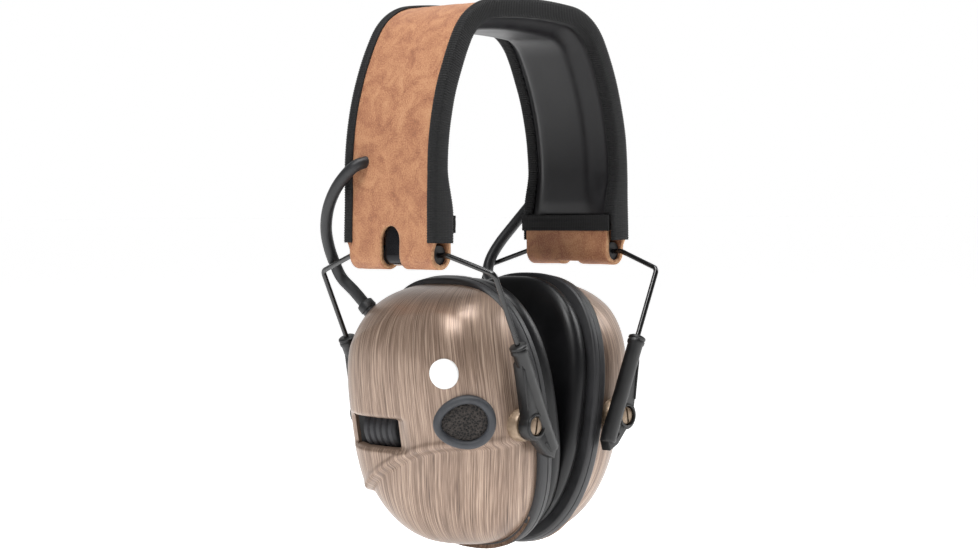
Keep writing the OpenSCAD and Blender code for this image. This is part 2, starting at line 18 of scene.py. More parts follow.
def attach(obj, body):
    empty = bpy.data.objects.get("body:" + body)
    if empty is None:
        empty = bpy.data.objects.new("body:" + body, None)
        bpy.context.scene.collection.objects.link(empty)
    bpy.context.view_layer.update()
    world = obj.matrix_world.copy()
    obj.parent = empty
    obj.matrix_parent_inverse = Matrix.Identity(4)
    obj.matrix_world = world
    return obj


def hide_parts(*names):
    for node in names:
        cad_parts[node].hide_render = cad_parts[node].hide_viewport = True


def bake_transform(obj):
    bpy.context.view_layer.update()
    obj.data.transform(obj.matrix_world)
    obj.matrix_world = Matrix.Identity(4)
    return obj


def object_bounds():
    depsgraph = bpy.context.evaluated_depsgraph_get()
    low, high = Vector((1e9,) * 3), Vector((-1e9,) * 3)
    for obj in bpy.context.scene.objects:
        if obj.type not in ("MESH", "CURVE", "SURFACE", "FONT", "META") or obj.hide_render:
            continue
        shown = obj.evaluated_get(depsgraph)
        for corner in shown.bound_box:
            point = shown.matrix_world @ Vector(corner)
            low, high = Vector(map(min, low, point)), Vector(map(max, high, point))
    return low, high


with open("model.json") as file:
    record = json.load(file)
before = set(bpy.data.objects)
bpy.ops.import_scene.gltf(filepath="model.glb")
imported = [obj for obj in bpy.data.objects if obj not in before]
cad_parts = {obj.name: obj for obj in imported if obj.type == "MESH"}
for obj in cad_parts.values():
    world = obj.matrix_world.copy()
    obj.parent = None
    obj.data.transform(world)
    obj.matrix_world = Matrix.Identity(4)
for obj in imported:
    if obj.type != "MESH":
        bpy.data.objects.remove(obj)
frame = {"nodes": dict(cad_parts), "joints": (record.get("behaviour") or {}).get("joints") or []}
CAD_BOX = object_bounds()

LOG = logging.getLogger("earmuff")
MM = 0.001
Place = Callable[[float, float], Vector]
Chart = Callable[[float, float], tuple[float, float]]


class Side(Enum):
    """The two sides of the wearer's head."""

    RIGHT = "right"
    LEFT = "left"

    @property
    def sign(self) -> int:
        """-1 on the wearer's right and +1 on the left."""
        return 1 if self is Side.LEFT else -1


class End(Enum):
    """The two ends of a yoke, each with an arm on it."""

    FRONT = "front"
    REAR = "rear"

    @property
    def sign(self) -> int:
        """-1 at the front and +1 at the rear."""
        return 1 if self is End.REAR else -1


# ---- Numbers and shapes


def smooth_step(low: float, high: float, value: float) -> float:
    """Share from 0 at low to 1 at high, with soft ends."""
    share = min(max((value - low) / (high - low), 0.0), 1.0)
    return share * share * (3 - 2 * share)


def signed_power(value: float, exponent: float) -> float:
    """Power of a number's size, with the number's own sign."""
    return math.copysign(abs(value) ** exponent, value)


def wrinkle(place: Vector, period: float, seed: float = 0.0) -> float:
    """Smooth noise from -1 to 1 that repeats its look about every period millimetres."""
    return noise.noise(place / (period * MM) + Vector((seed, 0.0, 0.0)))


def wrap_grid(bm: bmesh.types.BMesh, across: int, along: int, place: Place,
              chart: Optional[Chart] = None) -> list[bmesh.types.BMVert]:
    """Adds a flat grid and lays it over a shape.

    Args:
        bm: The mesh that the grid is added to.
        across: Number of cells in the first direction.
        along: Number of cells in the second direction.
        place: Gives a point in metres for two shares from 0 to 1.
        chart: Gives the pattern's place in millimetres for the same two shares.

    Returns:
        The grid's vertices.
    """
    made = bmesh.ops.create_grid(bm, x_segments=across, y_segments=along, size=1.0)
    spots = {v: ((v.co.x + 1) / 2, (v.co.y + 1) / 2) for v in made["verts"]}
    if chart:
        layer = bm.loops.layers.uv.verify()
        for vert, spot in spots.items():
            for loop in vert.link_loops:
                loop[layer].uv = chart(*spot)
    for vert, spot in spots.items():
        vert.co = place(*spot)
    return made["verts"]


def close_up(bm: bmesh.types.BMesh, fill: bool = True) -> None:
    """Merges doubles, fills open ends and turns the faces outwards."""
    bmesh.ops.remove_doubles(bm, verts=bm.verts, dist=0.004 * MM)
    if fill:
        bmesh.ops.holes_fill(bm, edges=[e for e in bm.edges if e.is_boundary], sides=0)
    bmesh.ops.recalc_face_normals(bm, faces=bm.faces)
    if bm.calc_volume(signed=True) < 0:
        bmesh.ops.reverse_faces(bm, faces=bm.faces)


def rounded_path(corners: Sequence[Vector], bend: float, steps: int = 6) -> list[Vector]:
    """Path through corners, each one rounded to a bend radius in metres."""
    points = [corners[0]]
    for before, corner, after in zip(corners, corners[1:], corners[2:]):
        back, ahead = (before - corner).normalized(), (after - corner).normalized()
        half = back.angle(ahead) / 2
        centre = corner + (back + ahead).normalized() * bend / math.sin(half)
        start = corner + back * bend / math.tan(half) - centre
        end = corner + ahead * bend / math.tan(half) - centre
        points += [centre + start.normalized().slerp(end.normalized(), k / steps) * bend
                   for k in range(steps + 1)]
    return points + [corners[-1]]


def smooth_path(route: Sequence[Vector], steps: int) -> list[Vector]:
    """Curve through a route's points, with steps points from each one to the next."""
    ends = [2 * route[0] - route[1], *route, 2 * route[-1] - route[-2]]
    points = []
    for a, b, c, d in zip(ends, ends[1:], ends[2:], ends[3:]):
        for k in range(steps):
            t = k / steps
            points.append(0.5 * (2 * b + (c - a) * t + (2 * a - 5 * b + 4 * c - d) * t ** 2
                                 + (3 * b - a - 3 * c + d) * t ** 3))
    return points + [route[-1]]


def sweep(bm: bmesh.types.BMesh, path: Sequence[Vector], radius: Callable[[float], float],
          sides: int = 16) -> None:
    """Adds a round bar along a path.

    Args:
        bm: The mesh that the bar is added to.
        path: Points of the bar's centre line, in metres.
        radius: Radius in millimetres for a share of the path's points.
        sides: Number of sides round the bar.
    """
    last = len(path) - 1
    heads = [(path[min(i + 1, last)] - path[max(i - 1, 0)]).normalized() for i in range(last + 1)]
    side = heads[0].orthogonal().normalized()
    sides_at = []
    for head in heads:
        side = (side - head * side.dot(head)).normalized()
        sides_at.append((side.copy(), head.cross(side)))

    def place(u: float, w: float) -> Vector:
        """Point of the bar's skin."""
        i = round(w * last)
        turn = 2 * math.pi * u
        reach = radius(w) * MM
        return path[i] + reach * (math.cos(turn) * sides_at[i][0] + math.sin(turn) * sides_at[i][1])

    wrap_grid(bm, sides, last, place)
    close_up(bm)


def absorb(bm: bmesh.types.BMesh, part: bmesh.types.BMesh) -> None:
    """Adds a small mesh to a larger one and frees the small one."""
    mesh = bpy.data.meshes.new("part")
    part.to_mesh(mesh)
    part.free()
    bm.from_mesh(mesh)
    bpy.data.meshes.remove(mesh)


def spun(bm: bmesh.types.BMesh, profile: Sequence[tuple[float, float]], centre: Vector,
         axis: Vector, sides: int = 48) -> None:
    """Adds a turned shape.

    Args:
        bm: The mesh that the shape is added to.
        profile: Distances along the axis and radii, in millimetres, from end to end.
        centre: The axis's starting point, in metres.
        axis: The axis's direction.
        sides: Steps of the full turn.
    """
    axis = axis.normalized()
    out = axis.orthogonal().normalized()
    verts = [bm.verts.new(centre + axis * d * MM + out * r * MM) for d, r in profile]
    edges = [bm.edges.new(pair) for pair in zip(verts, verts[1:])]
    bmesh.ops.spin(bm, geom=verts + edges, cent=centre, axis=axis, angle=2 * math.pi, steps=sides,
                   use_merge=True)
    close_up(bm)


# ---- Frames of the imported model


def joint(name: str) -> dict:
    """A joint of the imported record, by name."""
    return next(j for j in frame["joints"] if j["name"] == name)


@dataclass(frozen=True)
class CupFrame:
    """A cup's own frame: w outwards from the back plate's face, y to the rear, v up."""

    side: Side
    tilt: float = math.radians(9.5)
    pin_w: float = 7.7

    def at(self, w: float, y: float, v: float) -> Vector:
        """Point in metres from a cup's own millimetres."""
        pin = Vector(joint(f"cup_tilt_{self.side.value}")["pos_m"])
        out, up = (w - self.pin_w) * MM, v * MM
        return pin + Vector((self.side.sign * (out * math.cos(self.tilt) + up * math.sin(self.tilt)),
                             y * MM, up * math.cos(self.tilt) - out * math.sin(self.tilt)))

    def way(self, w: float, y: float, v: float) -> Vector:
        """Direction in the row frame from a direction in the cup's own."""
        return (self.at(w, y, v) - self.at(0, 0, 0)).normalized()


@dataclass(frozen=True)
class YokeFrame:
    """A yoke's own frame: x outwards, y to the rear and z up its legs, from its pivot."""

    side: Side

    def at(self, x: float, y: float, z: float) -> Vector:
        """Point in metres from a yoke's own millimetres."""
        pivot = Vector(joint(f"yoke_swing_{self.side.value}")["pos_m"])
        down = Vector(joint(f"height_{self.side.value}")["axis"])
        out = Vector((-down.z * self.side.sign, 0, down.x * self.side.sign))
        return pivot + out * x * MM + Vector((0, y * MM, 0)) - down * z * MM


@dataclass(frozen=True)
class BandPath:
    """Run of the headband's outer face from the top of the crown, down a side and round its loop."""

    crown_r: float = 200.0
    crown_turn: float = 6.5
    shoulder_r: float = 25.0
    shoulder_turn: float = 53.5
    side_r: float = 105.0
    side_turn: float = 29.0
    leg: float = 31.5
    thick: float = 9.0
    loop_r: float = 5.4
    tab: float = 13.1

    @property
    def stretches(self) -> list[tuple[float, float]]:
        """Radius and turn of each arc in order. A straight has radius 0 and its length instead."""
        return [(self.crown_r, self.crown_turn), (self.shoulder_r, self.shoulder_turn),
                (self.side_r, self.side_turn), (0.0, self.leg), (self.loop_r, 180.0), (0.0, self.tab)]

    @property
    def leg_end(self) -> float:
        """Run from the top of the crown to the end of a leg."""
        return sum(r * math.radians(a) if r else a for r, a in self.stretches[:4])

    def at(self, run: float, depth: float, y: float) -> Vector:
        """Point in metres at a run along the band, a depth under its outer face and a y place."""
        x, z, angle, left = 0.0, self.thick, 0.0, abs(run)
        for radius, amount in self.stretches:
            step = min(left, radius * math.radians(amount) if radius else amount)
            if radius:
                turned = angle + step / radius
                x += radius * (math.sin(turned) - math.sin(angle))
                z += radius * (math.cos(turned) - math.cos(angle))
                angle = turned
            else:
                x, z = x + step * math.cos(angle), z - step * math.sin(angle)
            left -= step
        x, z = x - depth * math.sin(angle), z - depth * math.cos(angle)
        return Vector((math.copysign(x, run), y, z)) * MM


# ---- Finishes


def linear(colour: str) -> tuple[float, float, float, float]:
    """Linear colour from an sRGB hex value."""
    parts = [int(colour[i:i + 2], 16) / 255 for i in (1, 3, 5)]
    r, g, b = (c / 12.92 if c <= 0.04045 else ((c + 0.055) / 1.055) ** 2.4 for c in parts)
    return r, g, b, 1.0


def add(tree: bpy.types.NodeTree, kind: str, inputs: Optional[dict] = None,
        **settings: object) -> bpy.types.Node:
    """Adds a node with its settings, and its inputs' values or links.

    Args:
        tree: The node tree.
        kind: The node's type name.
        inputs: Values or output sockets by input name or number.
        **settings: Properties of the node itself.

    Returns:
        The node.
    """
    node = tree.nodes.new(kind)
    for name, value in settings.items():
        setattr(node, name, value)
    for name, value in (inputs or {}).items():
        if isinstance(value, bpy.types.NodeSocket):
            tree.links.new(value, node.inputs[name])
        else:
            node.inputs[name].default_value = value
    return node


def ramp(tree: bpy.types.NodeTree, value: bpy.types.NodeSocket,
         stops: Sequence[tuple[float, str]]) -> bpy.types.NodeSocket:
    """Turns a value into a colour by stops of place and sRGB hex colour."""
    node = add(tree, "ShaderNodeValToRGB", {"Fac": value})
    elements = node.color_ramp.elements
    while len(elements) < len(stops):
        elements.new(0.5)
    for element, (spot, colour) in zip(elements, stops):
        element.position, element.color = spot, linear(colour)
    return node.outputs["Color"]


@dataclass(frozen=True)
class Finish:
    """A moulded or turned surface: a colour that drifts a little, and a fine grit."""

    name: str
    slot: str
    dark: str
    light: str
    rough: tuple[float, float] = (0.4, 0.5)
    metallic: float = 0.0
    coat: float = 0.0
    sheen: float = 0.0
    patch: float = 9.0
    grit: float = 0.5
    depth: float = 0.02
    glow: float = 0.0
    shine: float = 0.5

    def pattern(self, tree: bpy.types.NodeTree) -> tuple[bpy.types.NodeSocket, bpy.types.NodeSocket,
                                                         bpy.types.NodeSocket]:
        """Colour, a value that roughness follows, and height."""
        place = add(tree, "ShaderNodeTexCoord").outputs["Object"]
        patches = add(tree, "ShaderNodeTexNoise", {"Vector": place, "Scale": 1 / (self.patch * MM),
                                                   "Detail": 4.0, "Roughness": 0.6}).outputs["Fac"]
        grit = add(tree, "ShaderNodeTexNoise", {"Vector": place, "Scale": 1 / (self.grit * MM),
                                                "Detail": 2.0}).outputs["Fac"]
        colour = ramp(tree, patches, [(0.3, self.dark), (0.7, self.light)])
        return colour, patches, grit

    def material(self) -> bpy.types.Material:
        """The finish's material, made once."""
        found = bpy.data.materials.get(self.name)
        if found:
            return found
        made = bpy.data.materials.new(self.name)
        made.use_nodes = True
        tree = made.node_tree
        tree.nodes.clear()
        colour, worn, height = self.pattern(tree)
        rough = add(tree, "ShaderNodeMapRange", {"Value": worn, "From Min": 0.3, "From Max": 0.7,
                                                 "To Min": self.rough[0], "To Max": self.rough[1]})
        bump = add(tree, "ShaderNodeBump", {"Height": height, "Distance": self.depth * MM,
                                            "Strength": 1.0})
        shader = add(tree, "ShaderNodeBsdfPrincipled", {
            "Base Color": colour, "Roughness": rough.outputs["Result"],
            "Normal": bump.outputs["Normal"], "Metallic": self.metallic,
            "Coat Weight": self.coat, "Coat Roughness": 0.15, "Sheen Weight": self.sheen,
            "Sheen Roughness": 0.4, "Specular IOR Level": self.shine, "Emission Color": linear(self.light),
            "Emission Strength": self.glow})
        add(tree, "ShaderNodeOutputMaterial", {"Surface": shader.outputs["BSDF"]})
        return made


@dataclass(frozen=True)
class Leather(Finish):
    """Distressed cowhide: mottled by handling, with a pebbled grain and fine dark flecks."""

    pebble: float = 1.1
    deep: str = "#7A5038"

    def pattern(self, tree: bpy.types.NodeTree) -> tuple[bpy.types.NodeSocket, bpy.types.NodeSocket,
                                                         bpy.types.NodeSocket]:
        """Colour, wear and height of the leather."""
        place = add(tree, "ShaderNodeTexCoord").outputs["UV"]
        mottle = add(tree, "ShaderNodeTexNoise", {"Vector": place, "Scale": 1 / self.patch,
                                                  "Detail": 9.0, "Roughness": 0.68,
                                                  "Distortion": 0.6}).outputs["Fac"]
        fleck = add(tree, "ShaderNodeTexNoise", {"Vector": place, "Scale": 1 / self.grit,
                                                 "Detail": 3.0, "Roughness": 0.7}).outputs["Fac"]
        cells = add(tree, "ShaderNodeTexVoronoi", {"Vector": place, "Scale": 1 / self.pebble,
                                                   "Randomness": 1.0},
                    feature="DISTANCE_TO_EDGE").outputs["Distance"]
        both = add(tree, "ShaderNodeMath", {0: mottle, 1: fleck}, operation="ADD").outputs["Value"]
        half = add(tree, "ShaderNodeMath", {0: both, 1: 0.5}, operation="MULTIPLY").outputs["Value"]
        colour = ramp(tree, half, [(0.34, self.deep), (0.44, self.dark), (0.53, self.light),
                                   (0.66, "#BA8C68")])
        grain = add(tree, "ShaderNodeMath", {0: cells, 1: 0.35}, operation="MINIMUM").outputs["Value"]
        height = add(tree, "ShaderNodeMath", {0: fleck, 1: grain}, operation="ADD").outputs["Value"]
        return colour, mottle, height


@dataclass(frozen=True)
class WoodFilm(Finish):
    """Film with a brushed wood grain, laid on the shell: fine upright streaks with a metal sheen."""

    streak: float = 0.34
    length: float = 46.0
    band: float = 3.2

    def pattern(self, tree: bpy.types.NodeTree) -> tuple[bpy.types.NodeSocket, bpy.types.NodeSocket,
                                                         bpy.types.NodeSocket]:
        """Colour, wear and height of the film, along the piece's own map."""
        chart = add(tree, "ShaderNodeTexCoord").outputs["UV"]
        layers = []
        for width, length, detail in ((self.streak, self.length, 4.0), (self.band, 2 * self.length, 3.0),
                                      (2.2 * self.streak, self.length / 3, 2.0)):
            spot = add(tree, "ShaderNodeMapping", {"Vector": chart, "Scale": (1 / width, 1 / length, 1.0)})
            layers.append(add(tree, "ShaderNodeTexNoise", {
                "Vector": spot.outputs["Vector"], "Scale": 1.0, "Detail": detail,
                "Roughness": 0.7}).outputs["Fac"])
        fine, broad, short = layers
        sum_1 = add(tree, "ShaderNodeMath", {0: fine, 1: 0.55, 2: 0.0}, operation="MULTIPLY_ADD")
        sum_2 = add(tree, "ShaderNodeMath", {0: broad, 1: 0.2, 2: sum_1.outputs["Value"]},
                    operation="MULTIPLY_ADD")
        sum_3 = add(tree, "ShaderNodeMath", {0: short, 1: 0.25, 2: sum_2.outputs["Value"]},
                    operation="MULTIPLY_ADD").outputs["Value"]
        colour = ramp(tree, sum_3, [(0.36, "#3E3028"), (0.44, self.dark), (0.52, self.light),
                                    (0.62, "#BBA695")])
        return colour, broad, sum_3


@dataclass(frozen=True)
class OpenFoam(Finish):
    """Open-cell foam: painted shade in the pits, darker at each cell's middle, between lighter struts."""

    cell: float = 0.8

    def pattern(self, tree: bpy.types.NodeTree) -> tuple[bpy.types.NodeSocket, bpy.types.NodeSocket,
                                                         bpy.types.NodeSocket]:
        """Colour with painted shade in the pits, wear and height of the foam."""
        place = add(tree, "ShaderNodeTexCoord").outputs["Object"]
        cells = add(tree, "ShaderNodeTexVoronoi", {"Vector": place, "Scale": 1 / (self.cell * MM),
                                                   "Randomness": 1.0}).outputs["Distance"]
        # painted shade: darker at each cell's middle, where the bump sinks the pit
        colour = ramp(tree, cells, [(0.25, self.dark), (0.75, self.light)])
        return colour, cells, cells


@dataclass(frozen=True)
class Weave(Finish):
    """Woven tape: threads crossing at a fine pitch."""

    thread: float = 0.45

    def pattern(self, tree: bpy.types.NodeTree) -> tuple[bpy.types.NodeSocket, bpy.types.NodeSocket,
                                                         bpy.types.NodeSocket]:
        """Colour, wear and height of the weave, along the piece's own map."""
        chart = add(tree, "ShaderNodeTexCoord").outputs["UV"]
        waves = [add(tree, "ShaderNodeTexWave", {"Vector": chart, "Scale": 0.314 / self.thread,
                                                 "Distortion": 0.4, "Detail": 1.0},
                     bands_direction=axis).outputs["Fac"] for axis in ("X", "Y")]
        both = add(tree, "ShaderNodeMath", {0: waves[0], 1: waves[1]}, operation="MULTIPLY")
        colour = ramp(tree, both.outputs["Value"], [(0.1, self.dark), (0.8, self.light)])
        return colour, both.outputs["Value"], both.outputs["Value"]


# Distressed cowhide: matt and mottled, with a raw cut edge
LEATHER = Leather("distressed_cowhide", "leather", "#935F43", "#AC7A57", (0.66, 0.82), sheen=0.06,
                  patch=7.0, grit=0.55, depth=0.10)
CUT_EDGE = Finish("raw_leather_edge", "leather", "#8C5E3E", "#C49A74", (0.8, 0.9), patch=1.2, grit=0.3,
                  depth=0.05)
# Pressed vinyl: black with a soft broad shine
VINYL = Finish("satin_vinyl", "vinyl", "#08080A", "#0E0E10", (0.34, 0.42), patch=12.0, grit=0.7,
               depth=0.022, shine=0.35)
PAD_VINYL = Finish("lining_vinyl", "vinyl", "#0D0C0F", "#141316", (0.36, 0.46), patch=14.0, grit=0.6,
                   depth=0.02, shine=0.35)
# Grosgrain: matt black thread; the binding's ribs are geometry
TAPE = Weave("grosgrain_tape", "tape", "#060606", "#17171A", (0.75, 0.9), sheen=0.05, depth=0.05, shine=0.4)
THREAD = Finish("black_thread", "tape", "#141416", "#2E2E33", (0.55, 0.7), patch=1.0, grit=0.2)
# Open-cell foam: painted shade in the pits, in cells of 0.8 mm, chosen so that they show
FOAM = OpenFoam("open_cell_foam", "foam", "#0A0A0B", "#3E3936", (0.9, 1.0), depth=0.5)
SPRING = Finish("blued_spring_steel", "spring_steel", "#0E0E10", "#1C1C20", (0.18, 0.3), metallic=0.7)
WIRE = Finish("black_coated_wire", "wire", "#060607", "#0D0D0E", (0.22, 0.34), coat=0.3, patch=6.0)
NYLON = Finish("black_nylon", "nylon", "#0A0A0B", "#121213", (0.36, 0.5), patch=7.0, grit=0.35)
# Film on ABS: fine brushed streaks, 0.34 mm wide, with a slight metal sheen
FILM = WoodFilm("wood_grain_film", "shell_film", "#6E5A4D", "#927C6C", (0.32, 0.42), metallic=0.4,
                coat=0.1, depth=0.02)
PIN = Finish("taupe_moulding", "shell_film", "#77644F", "#9A8672", (0.3, 0.42), metallic=0.4, patch=3.0)
PLATE = Finish("grey_abs", "plate_plastic", "#1E1E20", "#2A2A2C", (0.42, 0.54), patch=10.0, grit=0.3)
BEZEL = Finish("grey_rubber", "bezel_rubber", "#2A2C30", "#383A3F", (0.5, 0.62), patch=5.0, grit=0.3)
KNOB = Finish("black_rubber", "knob_rubber", "#1A1A1D", "#28282C", (0.5, 0.62), patch=3.0, grit=0.3)
ENAMEL = Finish("white_enamel", "badge_enamel", "#E6E8E8", "#F4F5F5", (0.25, 0.34), coat=0.4, depth=0.005)
LEAD = Finish("black_pvc", "lead_rubber", "#121315", "#1C1D20", (0.42, 0.55), patch=8.0, grit=0.3)
ZINC = Finish("zinc_plated_steel", "screw_steel", "#8A8C8E", "#B4B6B8", (0.25, 0.4), metallic=1.0)
BOARD = Finish("green_solder_mask", "board", "#14402A", "#1E5A3A", (0.3, 0.45), coat=0.3)
CELL = Finish("battery_can", "cell", "#8E9092", "#C0C2C4", (0.25, 0.35), metallic=0.9)
CAPSULE = Finish("pressed_aluminium", "capsule", "#9A9CA0", "#C4C6CA", (0.3, 0.4), metallic=1.0)
BASKET = Finish("speaker_moulding", "speaker_basket", "#2A2A2C", "#3C3C3F", (0.55, 0.7))
FLOOR = Finish("studio_paper", "", "#F4F4F4", "#F8F8F8", (0.9, 1.0), patch=300.0, grit=2.0, glow=0.8)


# ---- Pieces


def piece(name: str, bm: bmesh.types.BMesh, body: Optional[str], finishes: Sequence[Finish],
          nodes: Iterable[str] = (), sharp: float = 35.0) -> bpy.types.Object:
    """Makes an object of a mesh, dresses it and puts it on its body.

    Args:
        name: The piece's name.
        bm: Its mesh in metres, which is freed.
        body: The CAD body that it rides on, or None for a piece that rides on no body.
        finishes: Its finishes, in the order of its material slots.
        nodes: CAD nodes that it stands for.
        sharp: Angle in degrees from which an edge is shown sharp.

    Returns:
        The object.
    """
    mesh = bpy.data.meshes.new(name)
    bm.to_mesh(mesh)
    bm.free()
    mesh.shade_smooth()
    mesh.set_sharp_from_angle(angle=math.radians(sharp))
    for finish in finishes:
        mesh.materials.append(finish.material())
    made = bpy.data.objects.new(name, mesh)
    bpy.context.scene.collection.objects.link(made)
    if body:
        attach(made, body)
    if nodes:
        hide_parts(*nodes)
    LOG.info("%s: %d faces", name, len(mesh.polygons))
    return made


def dress(node: str, finish: Finish) -> None:
    """Gives a CAD node that stays a finish."""
    mesh = frame["nodes"][node].data
    mesh.materials.clear()
    mesh.materials.append(finish.material())


def settle(made: bpy.types.Object) -> None:
    """Applies a piece's modifiers to its mesh."""
    graph = bpy.context.evaluated_depsgraph_get()
    mesh = bpy.data.meshes.new_from_object(made.evaluated_get(graph))
    made.modifiers.clear()
    made.data = mesh


def carve(made: bpy.types.Object, cutter: bmesh.types.BMesh) -> None:
    """Cuts a closed mesh out of a piece."""
    mesh = bpy.data.meshes.new("cutter")
    cutter.to_mesh(mesh)
    cutter.free()
    tool = bpy.data.objects.new("cutter", mesh)
    bpy.context.scene.collection.objects.link(tool)
    cut = made.modifiers.new("cut", "BOOLEAN")
    cut.operation, cut.solver, cut.object = "DIFFERENCE", "MANIFOLD", tool
    settle(made)
    bpy.data.objects.remove(tool)


def box_mesh(at: Callable[[float, float, float], Vector], low: Sequence[float],
             high: Sequence[float], round_off: float = 0.0) -> bmesh.types.BMesh:
    """Closed box between two corners of a frame, with rounded edges if asked."""
    bm = bmesh.new()
    made = bmesh.ops.create_cube(bm, size=1.0)
    for vert in made["verts"]:
        share = [c + 0.5 for c in vert.co]
        vert.co = at(*(a + (b - a) * s for a, b, s in zip(low, high, share)))
    if round_off:
        bmesh.ops.bevel(bm, geom=bm.edges[:], offset=round_off * MM, affect="EDGES", segments=3,
                        profile=0.5, material=-1)
    close_up(bm)
    return bm


# ---- Headband


@dataclass(frozen=True)
class Headband:
    """The padded band: leather outside, vinyl lining inside, woven tape round the edges."""

    path: BandPath = BandPath()
    half: float = 23.0
    loop_half: float = 21.0
    leather: float = 1.8
    slot_half: float = 5.0
    slot_top: float = 11.0
    slot_round: float = 5.5
    lap: float = 3.5
    tape: float = 0.7
    rib: float = 0.95
    rib_height: float = 0.24
    lining_end: float = 8.5
    tape_h: float = 5.6
    pad_half: float = 15.5
    pad_rise: float = 1.7
    stitch: float = 2.6

    def edge(self, height: float) -> float:
        """Thickness of the band's bound edge at a height over the leg's end, where it is pinched."""
        return self.path.thick - 3.2 * smooth_step(self.lining_end + 6, self.lining_end + 24, height)

    def build(self) -> None:
        """Builds every piece of the band."""
        self.strip()
        self.lining()
        for end in End:
            self.binding(end)
            self.seam(end)
        for side in Side:
            self.end_tape(side)
            dress(f"hinge_sleeve_{side.value}", NYLON)
        dress("spring_strip", SPRING)
        dress("band_lead", LEAD)

    def strip(self) -> None:
        """The leather strip, with a slot over each hinge."""
        path, narrow = self.path, 4
        full = path.leg_end + math.pi * path.loop_r + path.tab
        columns, rows = 44, 440
        outer = columns // 2 - narrow

        def flat(u: float, w: float) -> tuple[float, float]:
            """Run and y place of a point of the strip laid flat."""
            k = abs(u - 0.5) * columns
            y = k * self.slot_half / narrow if k <= narrow else (
                self.slot_half + (k - narrow) * (self.half - self.slot_half) / outer)
            run = (2 * w - 1) * full
            share = smooth_step(path.leg_end - 7, path.leg_end - 1, abs(run))
            y *= 1 - share * (1 - self.loop_half / self.half) * smooth_step(10, 20, y)
            return run, math.copysign(y, u - 0.5)

        bm = bmesh.new()
        wrap_grid(bm, columns, rows, lambda u, w: Vector((*flat(u, w), 0)), flat)
        start = path.leg_end - self.slot_top
        stop = path.leg_end + 0.72 * math.pi * path.loop_r

        def inside(co: Vector) -> bool:
            """Whether a point of the flat strip lies in a slot."""
            run = abs(co.x)
            reach = min(max((start + self.slot_round - run) / self.slot_round, 0.0), 1.0)
            width = self.slot_half * math.sqrt(1 - reach ** 2)
            return start < run < stop and abs(co.y) < width

        gone = [f for f in bm.faces if inside(f.calc_center_median())]
        rim = {v for f in gone for v in f.verts}
        bmesh.ops.delete(bm, geom=gone, context="FACES")
        for vert in bm.verts:
            if vert in rim and start - 1.5 < abs(vert.co.x) < start + self.slot_round:
                run = abs(vert.co.x)
                low = (start + self.slot_round - run) / self.slot_round
                span = math.hypot(low, vert.co.y / self.slot_half)
                if span > 0:
                    new_run = start + self.slot_round - self.slot_round * low / span
                    vert.co.x = math.copysign(new_run, vert.co.x)
                    vert.co.y /= span
        for vert in bm.verts:
            run, y = vert.co.x, vert.co.y
            spot = Vector((run, y, 0)) * MM
            wave = (0.22 * wrinkle(spot, 17) + 0.12 * wrinkle(spot, 6, 7.0)
                    + 0.05 * wrinkle(spot, 2.2, 3.0))
            vert.co = path.at(run, 0.1 - wave * smooth_step(self.half, self.half - 4, abs(y)), y)
        bmesh.ops.recalc_face_normals(bm, faces=bm.faces)
        made = piece("leather_strip", bm, "headband", [LEATHER, CUT_EDGE], ["headband_leather"])
        outside = sum(f.normal.z for f in made.data.polygons if f.center.z > 0.005)
        thick = made.modifiers.new("thickness", "SOLIDIFY")
        thick.thickness, thick.offset = self.leather * MM, -1.0 if outside > 0 else 1.0
        thick.use_even_offset, thick.material_offset_rim = True, 1

    def lining(self) -> None:
        """The padded lining, raised along its middle."""
        path = self.path
        reach = path.leg_end - self.lining_end
        inside = self.half - 0.4

        def place(u: float, w: float) -> Vector:
            """Point of the lining's skin: face, edges and back as one closed loop."""
            run = (2 * w - 1) * reach
            turn = 2 * math.pi * u
            y = inside * signed_power(math.cos(turn), 0.55)
            rise = smooth_step(self.half - 4, self.pad_half - 5, abs(y)) * smooth_step(0, 12, reach - abs(run))
            crease = 0.35 * math.exp(-((abs(y) - self.pad_half - 1.5) / 0.9) ** 2)
            spot = path.at(run, 0, y)
            soft = 0.25 * wrinkle(spot, 24) * rise
            bound = self.edge(path.leg_end - abs(run))
            front = bound - 0.15 + (path.thick - bound + self.pad_rise) * rise - crease + soft
            back = self.leather + 0.6
            share = 0.5 + 0.5 * signed_power(math.sin(turn), 0.4)
            return path.at(run, back + (front - back) * share, y)

        bm = bmesh.new()
        wrap_grid(bm, 72, 220, place)
        close_up(bm)
        made = piece("padded_lining", bm, "headband", [PAD_VINYL], ["headband_liner", "headband_foam"])

    def binding(self, end: End) -> None:
        """Ribbed tape folded over one edge of the band."""
        path = self.path
        reach = path.leg_end - self.lining_end + 4.0
        rows = int(2 * reach / self.rib * 4)

        def section(w: float) -> list[tuple[float, float]]:
            """Distance in from the edge and depth, round the tape's section."""
            height = path.leg_end - abs(2 * w - 1) * reach
            tape_top = self.lining_end + self.tape_h
            inner = self.lap * smooth_step(tape_top, tape_top + 1.5, height)
            lap, t, thick = self.lap, self.tape, self.edge(height)
            return [(lap, 0.05), (lap + 0.1, -0.3), (lap - 0.3, -t), (0.6, -t), (-0.35, -0.35), (-t, 0.8),
                    (-t, thick / 2), (-t, thick - 0.8), (-0.35, thick + 0.3), (0.5, thick + 0.6 * t),
                    (max(inner - 0.3, 0.55), thick + 0.6 * t), (inner + 0.6, thick), (0.0, thick - 0.3),
                    (0.0, 0.2), (lap, 0.05)]

        count = len(section(0.5)) - 1
        skin = {k for k in range(2, 12)}

